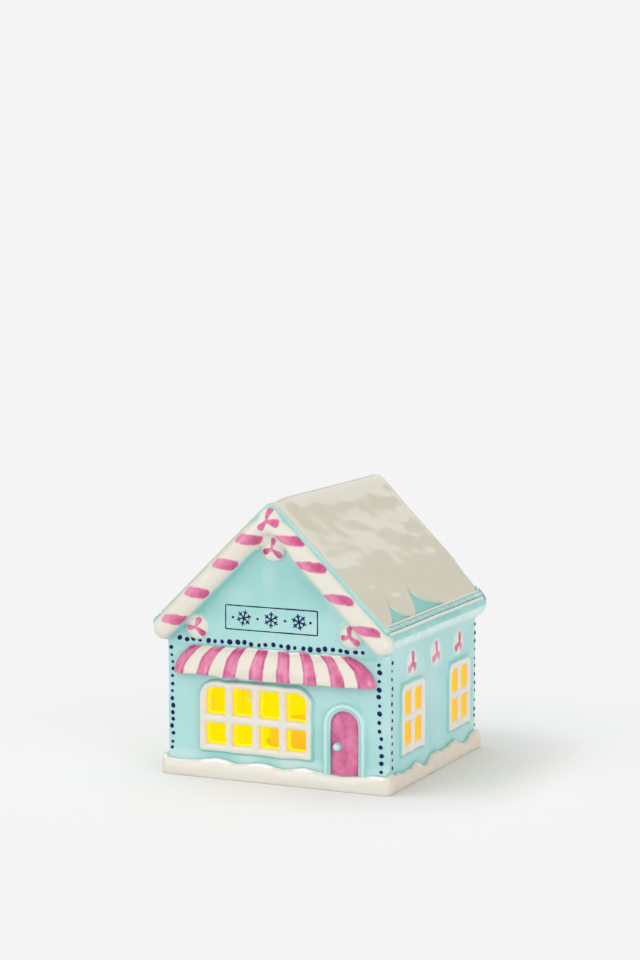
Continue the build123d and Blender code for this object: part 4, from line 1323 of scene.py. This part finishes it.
def makeRoof():
    half = eaveSection()
    rows = half + [(-row[0], *row[1:]) for row in half[::-1] if row[0] > 0]
    x0, z0, cream0, pool0, pale0, inside = np.array(rows, float).T
    n = len(rows)
    outside = inside < 0.5
    start, end = wallFront - board["proud"] + board["edge"] + eave["ahead"], roofBack - eave["corner"]
    turn = np.sin(np.linspace(eave["firstTurn"], 1, eave["cornerRings"]) * math.pi / 2)
    ys = np.concatenate([np.linspace(start, end, eave["rings"]), roofBack - eave["corner"] * (1 - turn)])
    drawn = np.clip((np.abs(x0) - eave["drawFrom"]) / (eaveHalf - eave["drawFrom"]), 0, 1)
    lift = np.where(z0 > eave["fasciaFoot"] + eave["fasciaLip"], slope, eave["fasciaLift"]) * outside
    loose = np.clip((np.abs(x0) - eave["swayFrom"]) / eave["swayOver"], 0, 1)
    band = ramp(np.abs(x0), *eave["bandEdge"]) * (z0 > eave["bandFoot"])
    verts, cream, poolAndShade, paleAndLit = [], [], [], []
    for y in ys:
        level = np.full(n, y)
        draw = roofInset(y) * drawn
        sway = swing(level, np.sign(x0) * 9, 9, 120, eave["sway"])
        wash = swing(level, x0 * 3, 3.0, 121, eave["wash"])
        shut = ramp(y, *(roofBack - past for past in eave["close"]))  # the band sinks at the back corner
        z = z0 + lift * draw + sway * loose - eave["closeDrop"] * shut * band
        verts.append(np.stack([x0 - np.sign(x0) * draw, y - roofShort(x0, y), z], -1))
        cream.append(cream0 * (1 - shut))
        poolAndShade.append(np.clip(pool0 + wash * (pool0 > 0.05), 0, 1))
        paleAndLit.append(np.clip(pale0 + wash * (pale0 > 0.05), 0, 1))
    faces, faceSlots = [], []
    for k in range(len(ys) - 1):
        indoors = abs(ys[k]) <= halfDepth - eave["indoorGap"]
        for c in range(n):
            d = (c + 1) % n
            faces.append([k * n + c, k * n + d, (k + 1) * n + d, (k + 1) * n + c])
            faceSlots.append(int(indoors and not outside[c] and not outside[d]))
    frontCap, caps = roofCaps(n, len(half))
    faces += [frontCap] + [[(len(ys) - 1) * n + c for c in cap] for cap in caps]
    faceSlots += [0] * (len(caps) + 1)
    newPiece("roofShell", np.concatenate(verts), [face[::-1] for face in faces], [aquaGlaze, litBisque],
             "roof_shell",
             {"cream": np.concatenate(cream), "poolAndShade": np.concatenate(poolAndShade), "paleAndLit": np.concatenate(paleAndLit)},
             faceSlots, 50)


makeRoof()


# Snow coat: one soft sheet over the ridge, notched along both eaves
snowCoat = {"soft": 1.25, "step": 0.45, "ridge": 1.2, "sunk": 0.3, "wave": 0.4, "hump": 0.17, "ripple": 0.06,
            "along": 0.36, "crest": 0.7, "crestWide": 9.0, "backRound": 5.0, "backDrop": 1.1, "paleAndLit": 0.9,
            "skirt": 0.75, "notchSteps": 14,
            "notches": [(-44.0, -29.4, -21.0, 8.0), (-20.5, -5.4, 12.0, 10.6)],
            "corner": [(6.4, 0.0), (5.4, 0.25), (4.0, 0.8), (2.6, 1.5), (1.3, 2.3), (0.4, 3.2), (0.0, 4.6)]}


def snowEdgeLine():
    # The lower edge from front to back as points (along, across)
    points = [(wallFront - board["proud"] + board["edge"], snowEdge)]
    shares = [k / snowCoat["notchSteps"] for k in range(1, snowCoat["notchSteps"] + 1)]
    for start, tip, end, depth in snowCoat["notches"]:
        # A round drip turns up steeply to the tip, then falls away in a long tail
        for s in shares:
            points.append((start + (tip - start) * s, snowEdge - depth * (0.2 * s + 0.8 * s ** 2)))
        for s in shares:
            points.append((tip + (end - tip) * s * s, snowEdge - depth * (1 - 0.9 * s ** 0.6) * (s < 1)))
    return points + [(roofBack - past, snowEdge - edge) for past, edge in snowCoat["corner"]]


def snowLines():
    # Where the sheet's rows of points run: close at the ridge and at the notched edge
    fine = np.arange(snowEdge - 12.6, snowEdge + 0.1, 0.35)
    half = np.concatenate([np.linspace(0.3, 3.9, 10), np.linspace(4.5, fine[0] - 1.0, 32), fine])
    return np.concatenate([-half[::-1], half])


def makeSnowCoat():
    line = snowEdgeLine()
    loop = np.array([(x, y) for y, x in line] + [(-x, y) for y, x in line[::-1]])
    front = loop[0, 1]
    ahead = loop.copy()  # the swell does not thin out at the front, where the coat meets the board
    ahead[np.abs(ahead[:, 1] - front) < 0.01, 1] -= 0.3

    def field(u, v):
        return outlineField(u, v, loop) + swing(u, v, 4, 130, snowCoat["wave"]) * (np.abs(u) < snowEdge - 0.5)

    def swell(u, v):
        inset = -outlineField(u, v, ahead)
        back = 1 - roundEdge(roofBack - v, snowCoat["backRound"])
        crest = snowCoat["crest"] * np.exp(-(u / snowCoat["crestWide"]) ** 2) * ramp(v - wallFront, 0.5, 12)
        along = v * snowCoat["along"]
        hump = swing(u, along, 4.6, 131, snowCoat["hump"]) + swing(u, along, 2.2, 132, snowCoat["ripple"])
        sheet = coatThick * roundEdge(inset + 0.05, snowCoat["soft"])
        return sheet + hump * ramp(inset, 0, 5) + crest - snowCoat["backDrop"] * back

    def place(u, v, h):
        lean = slope * u / np.sqrt(u * u + snowCoat["ridge"] ** 2)
        norm = np.sqrt(lean * lean + 1)
        base = planeZ(u, platePeak, snowCoat["ridge"])
        return u + lean / norm * h, v - roofShort(u, v), base + 1 / norm * h

    def skirt(u, v):
        return snowCoat["skirt"] * ramp(outlineField(u, v, loop), -0.55, 0.1) * (v > wallFront + 0.6)

    reliefPiece("roofSnow", field, swell, ((-snowEdge, front), (snowEdge, roofBack)), snowCoat["step"],
                snowCoat["sunk"], place, [snowGlaze, snowGlaze], "roof_snow", False,
                {"skirt": skirt, "paleAndLit": even(snowCoat["paleAndLit"])}, (1.0,), 50, snowLines())


makeSnowCoat()
print("roof and snow coat made")


# Geometry Nodes: beads set on given points, turned to face out

def geometryTree(name, inputs):
    tree = bpy.data.node_groups.new(name, "GeometryNodeTree")
    tree.interface.new_socket("Geometry", in_out="INPUT", socket_type="NodeSocketGeometry")
    sockets = {}
    for label, kind, value in inputs:
        socket = tree.interface.new_socket(label, in_out="INPUT", socket_type=kind)
        if value is not None:
            socket.default_value = value
        sockets[label] = socket.identifier
    tree.interface.new_socket("Geometry", in_out="OUTPUT", socket_type="NodeSocketGeometry")
    return tree, tree.nodes.new("NodeGroupInput"), tree.nodes.new("NodeGroupOutput"), sockets


def named(tree, name, kind):
    return addNode(tree, "GeometryNodeInputNamedAttribute", {"Name": name}, data_type=kind).outputs[0]


def makeBeadTree():
    tree, into, out, sockets = geometryTree("beadRow", [
        ("Radius", "NodeSocketFloat", 0.0007), ("Flat", "NodeSocketFloat", 0.5),
        ("Long", "NodeSocketFloat", 1.0), ("Jitter", "NodeSocketFloat", 0.15),
        ("Seed", "NodeSocketInt", 1), ("Material", "NodeSocketMaterial", None)])
    given = into.outputs
    ball = addNode(tree, "GeometryNodeMeshIcoSphere", {"Subdivisions": 2, "Radius": given["Radius"]})
    shape = addNode(tree, "ShaderNodeCombineXYZ", {0: given["Long"], 1: 1.0, 2: given["Flat"]})
    bead = addNode(tree, "GeometryNodeTransform", {"Geometry": ball.outputs[0], "Scale": shape.outputs[0]})
    facing, spin = named(tree, "facing", "FLOAT_VECTOR"), named(tree, "spin", "FLOAT_VECTOR")
    aim = addNode(tree, "FunctionNodeAlignRotationToVector", {"Vector": facing}, axis="Z")
    turn = addNode(tree, "FunctionNodeAlignRotationToVector", {"Rotation": aim.outputs[0], "Vector": spin},
                   axis="X", pivot_axis="Z")
    low = mathNode(tree, "SUBTRACT", 1.0, given["Jitter"])
    high = mathNode(tree, "ADD", 1.0, given["Jitter"])
    vary = addNode(tree, "FunctionNodeRandomValue", data_type="FLOAT")
    for socket, value in ((2, low), (3, high), ("Seed", given["Seed"])):
        tree.links.new(value, vary.inputs[socket])
    size = mathNode(tree, "MULTIPLY", vary.outputs[1], named(tree, "size", "FLOAT"))
    points = addNode(tree, "GeometryNodeMeshToPoints", {"Mesh": given["Geometry"]})
    row = addNode(tree, "GeometryNodeInstanceOnPoints", {
        "Points": points.outputs[0], "Instance": bead.outputs[0], "Rotation": turn.outputs[0], "Scale": size})
    real = addNode(tree, "GeometryNodeRealizeInstances", {0: row.outputs[0]})
    smooth = addNode(tree, "GeometryNodeSetShadeSmooth", {0: real.outputs[0]})
    paint = addNode(tree, "GeometryNodeSetMaterial", {"Geometry": smooth.outputs[0],
                                                      "Material": given["Material"]})
    tree.links.new(paint.outputs[0], out.inputs[0])
    return tree, sockets


beadTree, beadSockets = makeBeadTree()


def beadRow(name, points, facing, spin, sizes, values, node=None):
    # Grown by the tree on loose points, then kept as a plain mesh
    mesh = bpy.data.meshes.new(name)
    mesh.from_pydata((np.asarray(points) * mm).tolist(), [], [])
    for key, rows in (("facing", facing), ("spin", spin)):
        layer = mesh.attributes.new(key, "FLOAT_VECTOR", "POINT")
        layer.data.foreach_set("vector", np.asarray(rows, dtype=np.float32).ravel())
    layer = mesh.attributes.new("size", "FLOAT", "POINT")
    layer.data.foreach_set("value", np.asarray(sizes, dtype=np.float32))
    piece = bpy.data.objects.new(name, mesh)
    bpy.context.scene.collection.objects.link(piece)
    grow = piece.modifiers.new("grow", "NODES")
    grow.node_group = beadTree
    for label, value in values.items():
        grow[beadSockets[label]] = value
    graph = bpy.context.evaluated_depsgraph_get()
    done = bpy.data.meshes.new_from_object(piece.evaluated_get(graph))
    piece.modifiers.remove(grow)
    piece.data = done
    placePiece(piece, "house", node)


# Navy bead dots, brushed by hand: a row over the awning and columns down each corner
dots = {"radius": 0.9, "flat": 0.34, "long": 1.12, "jitter": 0.24, "treeSeed": 3,
        "row": (53.1, -40.3, 36.4, 26), "leftColumn": (-43.6, -43.6, 49.4, 9.9, 15), "leftSize": 0.84,
        "rightColumn": (42.8, 43.9, 49.2, 8.6, 14), "rightSize": 0.96,
        "sideFront": (-40.7, 48.8, 9.2, 14), "sideRear": (44.0, 50.3, 9.7, 13), "sideSize": 0.76,
        "wander": 0.36, "seed": 7}


def makeDots():
    rng = np.random.default_rng(dots["seed"])
    points, facing, sizes = [], [], []

    def put(place, out, across, size):
        shift = rng.uniform(-1, 1, 2) * dots["wander"]
        points.append(np.array(place) + np.array(across) * shift[0] + np.array((0, 0, 1)) * shift[1])
        facing.append(out)
        sizes.append(size)

    front, across = (0, -1, 0), (1, 0, 0)
    z, low, high, count = dots["row"]
    for x in np.linspace(low, high, count):
        put((x, wallFront - 0.05, z), front, across, 1.0)
    for column in ("left", "right"):
        first, last, top, foot, count = dots[column + "Column"]
        for s in np.linspace(0, 1, count):
            place = (first + (last - first) * s, wallFront + 0.02, top + (foot - top) * s)
            put(place, front, across, dots[column + "Size"])
    for side in (1, -1):
        for y, top, foot, count in (dots["sideFront"], dots["sideRear"]):
            for s in np.linspace(0, 1, count):
                place = (side * (halfWidth - 0.02), y, top + (foot - top) * s)
                put(place, (side, 0, 0), (0, 1, 0), dots["sideSize"])
    spin = rng.normal(size=(len(points), 3))
    beadRow("beadDots", points, facing, spin, sizes,
            {"Radius": dots["radius"] * mm, "Flat": dots["flat"], "Long": dots["long"],
             "Jitter": dots["jitter"], "Seed": dots["treeSeed"], "Material": navyGlaze})


makeDots()


# Twisted rope lying in each eave groove
rope = {"pitch": 2.3, "radius": 0.40, "long": 3.3, "flat": 0.9, "jitter": 0.08, "treeSeed": 11, "tilt": 50.0,
        "sunk": 0.40, "frontGap": 1.0, "backGap": 2.4, "cloud": (0.004, 9.3), "drift": (0.4, 0.5),
        "gloss": 0.2, "bump": 0.1}


def makeRopeGlaze():
    material, tree, shader = newMaterial("ropeGlaze")
    group = cloud(tree, *rope["cloud"])
    middle, amount = rope["drift"]
    mix = drifting(tree, middle, group.outputs["Drift"], amount)
    colour = mixColour(tree, mix, rgba(glazes["rope"]), rgba(glazes["ropePale"]))
    finishGlaze(tree, shader, colour, group, rope["gloss"], rope["bump"])
    return material


def makeRopes():
    nx, nz = slope * slopeCos, slopeCos
    start, end = wallFront - board["proud"] + rope["frontGap"], roofBack - rope["backGap"]
    ys = np.arange(start, end, rope["pitch"])
    groove, drawFrom = eave["groove"], eave["drawFrom"]
    x = groove - roofInset(ys) * (groove - drawFrom) / (eaveHalf - drawFrom)
    z = planeZ(x, snowPeak) - rope["sunk"] * nz
    tilt = math.radians(rope["tilt"])
    for side, name in ((1, "right"), (-1, "left")):
        points = np.stack([side * (x - rope["sunk"] * nx), ys - roofShort(x, ys), z], -1)
        facing = np.tile((side * nx, 0, nz), (len(ys), 1))
        lay = (side * math.sin(tilt) * slopeCos, math.cos(tilt), -math.sin(tilt) * slope * slopeCos)
        beadRow(name + "EaveRope", points, facing, np.tile(lay, (len(ys), 1)), np.ones(len(ys)),
                {"Radius": rope["radius"] * mm, "Flat": rope["flat"], "Long": rope["long"],
                 "Jitter": rope["jitter"], "Seed": rope["treeSeed"], "Material": ropeGlaze},
                "eave_rope_" + name)


ropeGlaze = makeRopeGlaze()
makeRopes()
print("dots and ropes grown")


# Snow bank round the foot
bank = {"half": nodeBox("base_snow")[1][0], "corner": 4.0, "perSide": 150, "perCorner": 12, "rows": 14,
        "under": 0.9, "tuckShare": 0.45, "deep": 3.9, "lift": 0.03, "foot": 0.35, "lump": 0.44, "fold": 0.5,
        "calm": 0.25, "lumpy": (6.7, 7.4), "crestAt": 0.90, "crestWide": 0.07, "wash": 0.6, "washFrom": 0.97,
        "spacing": 0.55, "lumpSize": 7, "foldSize": 3.6, "foldSlant": 0.5, "foldRise": 7.0, "roughSize": 2.3}


def bankLoop():
    # Points round the bank's foot with the way out and the bank's height there
    half, r = bank["half"], bank["corner"]
    flat = half - r
    places, ways = [], []
    for out, along in (((0, -1), (1, 0)), ((1, 0), (0, 1)), ((0, 1), (-1, 0)), ((-1, 0), (0, -1))):
        for s in np.linspace(-flat, flat, bank["perSide"]):
            places.append((out[0] * half + along[0] * s, out[1] * half + along[1] * s))
            ways.append(out)
        start = math.atan2(out[1], out[0])
        middle = (out[0] * flat + along[0] * flat, out[1] * flat + along[1] * flat)
        for k in range(1, bank["perCorner"]):
            a = start + k / bank["perCorner"] * math.pi / 2
            way = (math.cos(a), math.sin(a))
            places.append((middle[0] + r * way[0], middle[1] + r * way[1]))
            ways.append(way)
    heights = []
    for (x, y), way in zip(places, ways):
        if abs(way[0]) > abs(way[1]):
            heights.append(float(bankTop("side", y)))
        else:
            heights.append(float(bankTop("front" if way[1] < 0 else "back", x)))
    places, ways = np.array(places), np.array(ways)
    rough = swing(np.arange(len(places)) * 0.6, np.zeros(len(places)), bank["roughSize"], 142, 1.0)
    heights = np.array(heights) + rough * (bank["calm"] + (1 - bank["calm"]) * np.abs(ways[:, 0]))
    return places, ways, (heights * 2 + np.roll(heights, 1) + np.roll(heights, -1)) / 4


def bankRows(inward):
    # Rows up the bank's section: how far in, a fixed height or none, share of the bank's height
    deep, lift, under = bank["deep"], bank["lift"], bank["under"]
    rows = [(deep, lift, 0.0), (under + 0.3, lift, 0.0), (under, 0.3, 0.0)]
    for k in range(1, bank["rows"] + 1):
        a = k / bank["rows"] * math.pi / 2
        share = math.sin(a) ** 0.9
        tuck = under * max(0.0, 1 - share / bank["tuckShare"]) ** 2
        rows.append((inward * (1 - math.cos(a)) ** 1.5 + tuck, None, share))
    return rows + [(inward + 0.8, None, 0.93), (deep, None, 0.8)]


def makeBank():
    place, way, top = bankLoop()
    n = len(place)
    inward = bank["half"] - halfWidth
    rows = bankRows(inward)
    around = np.arange(n) * bank["spacing"]
    lump = softNoise(around, np.zeros(n), bank["lumpSize"], 140) * bank["lump"]
    folded = bank["fold"] * (bank["calm"] + (1 - bank["calm"]) * np.abs(way[:, 0]))
    # lumps marks the front lumps' tops, where white is painted on as a highlight
    lumps = ramp(top, *bank["lumpy"]) * (way[:, 1] < -0.7)
    verts, skirt, crest = [], [], []
    for draw, level, share in rows:
        shown = draw < inward
        crest.append(lumps * math.exp(-((share - bank["crestAt"]) / bank["crestWide"]) ** 2) * shown)
        full = math.sin(math.pi * share) * shown
        slant = share * bank["foldRise"] + around * bank["foldSlant"]
        fold = swing(around, slant, bank["foldSize"], 141, 1.0)
        x, y = (place - way * (draw + full * (lump + folded * fold))[:, None]).T
        z = bank["foot"] + (top - bank["foot"]) * share if level is None else np.full(n, level)
        verts.append(np.stack([x, y, z], -1))
        skirt.append(np.full(n, bank["wash"] if level is None and share >= bank["washFrom"] else 0.0))
    count = len(rows)
    faces = [[r * n + c, r * n + (c + 1) % n, (r + 1) % count * n + (c + 1) % n, (r + 1) % count * n + c]
             for r in range(count) for c in range(n)]
    skirt = np.concatenate(skirt)
    # warm takes the bank's left and right faces to the darker side cream, a painted shade; crest is the
    # painted highlight on the lump tops
    newPiece("baseSnow", np.concatenate(verts), faces, [creamGlaze], "base_snow",
             {"skirt": skirt, "poolAndShade": skirt, "warm": np.tile(np.abs(way[:, 0]) ** 2, count),
              "crest": np.concatenate(crest)}, sharp=50)


makeBank()
print("snow bank made")


# The light module keeps its solids; each gets a finish of its own
modulePlastic = {
    "mouldedWhite": (["module_base", "cell_holder", "battery_door"],
                     {"colour": "EDEBE4", "rough": 0.42, "grain": 0.0012}),
    "litCap": (["module_cap"], {"colour": "EFC25A", "rough": 0.5, "grain": 0.0012, "glow": 0.42}),
    "mouldedBlack": (["switch_body", "switch_slider"], {"colour": "1B1B1D", "rough": 0.38, "grain": 0.001}),
    "siliconeRing": (["grip_ring"], {"colour": "E4DFD2", "rough": 0.6, "grain": 0.002}),
    "nickelSteel": (["button_cell_1", "button_cell_2", "button_cell_3", "cell_contact", "door_contact",
                     "battery_door_screw"],
                    {"colour": "C9C7C0", "rough": 0.24, "grain": 0.0008, "metal": 1.0}),
    "boardLaminate": (["circuit_board"], {"colour": "2F6B45", "rough": 0.4, "grain": 0.0009}),
}
plasticLook = {"seed": 3.3, "drift": (0.4, 0.5), "dark": 0.86, "bump": 0.25, "reach": 0.0001}
lensLook = {"paleAndLit": "FFE9A8", "deep": "FFC94D", "cloud": (0.003, 6.6), "drift": (0.5, 0.4), "glow": 2.5,
            "rough": 0.2}


def makePlastic(name, colour, rough, grain, metal=0.0, glow=0.0):
    material, tree, shader = newMaterial(name)
    group = cloud(tree, grain, plasticLook["seed"])
    tint = linear(colour)
    dark = [c * plasticLook["dark"] for c in tint]
    middle, amount = plasticLook["drift"]
    mix = drifting(tree, middle, group.outputs["Drift"], amount)
    finishGlaze(tree, shader, mixColour(tree, mix, rgba(tint), rgba(dark)), group, rough, plasticLook["bump"],
                plasticLook["reach"])
    shader.inputs["Metallic"].default_value = metal
    # A glow painted on a part that is no lamp, standing in for the lamp's light through it
    if glow:
        shader.inputs["Emission Color"].default_value = rgba(glazes["amber"])
        shader.inputs["Emission Strength"].default_value = glow
    return material


def makeLens():
    material, tree, shader = newMaterial("lampLens")
    middle, amount = lensLook["drift"]
    mix = drifting(tree, middle, cloud(tree, *lensLook["cloud"]).outputs["Drift"], amount)
    colour = mixColour(tree, mix, rgba(linear(lensLook["paleAndLit"])), rgba(linear(lensLook["deep"])))
    tree.links.new(colour, shader.inputs["Emission Color"])
    shader.inputs["Emission Strength"].default_value = lensLook["glow"]
    shader.inputs["Roughness"].default_value = lensLook["rough"]
    return material


def dress(nodes, material):
    for node in nodes:
        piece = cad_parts[node]
        piece.data.materials.clear()
        piece.data.materials.append(material)


for plasticName, (plasticNodes, plastic) in modulePlastic.items():
    dress(plasticNodes, makePlastic(plasticName, **plastic))
dress(["led_lamp"], makeLens())
# The floor plate takes the inside faces' painted lamp glow
dress(["floor_plate"], litBisque)
print("light module dressed")
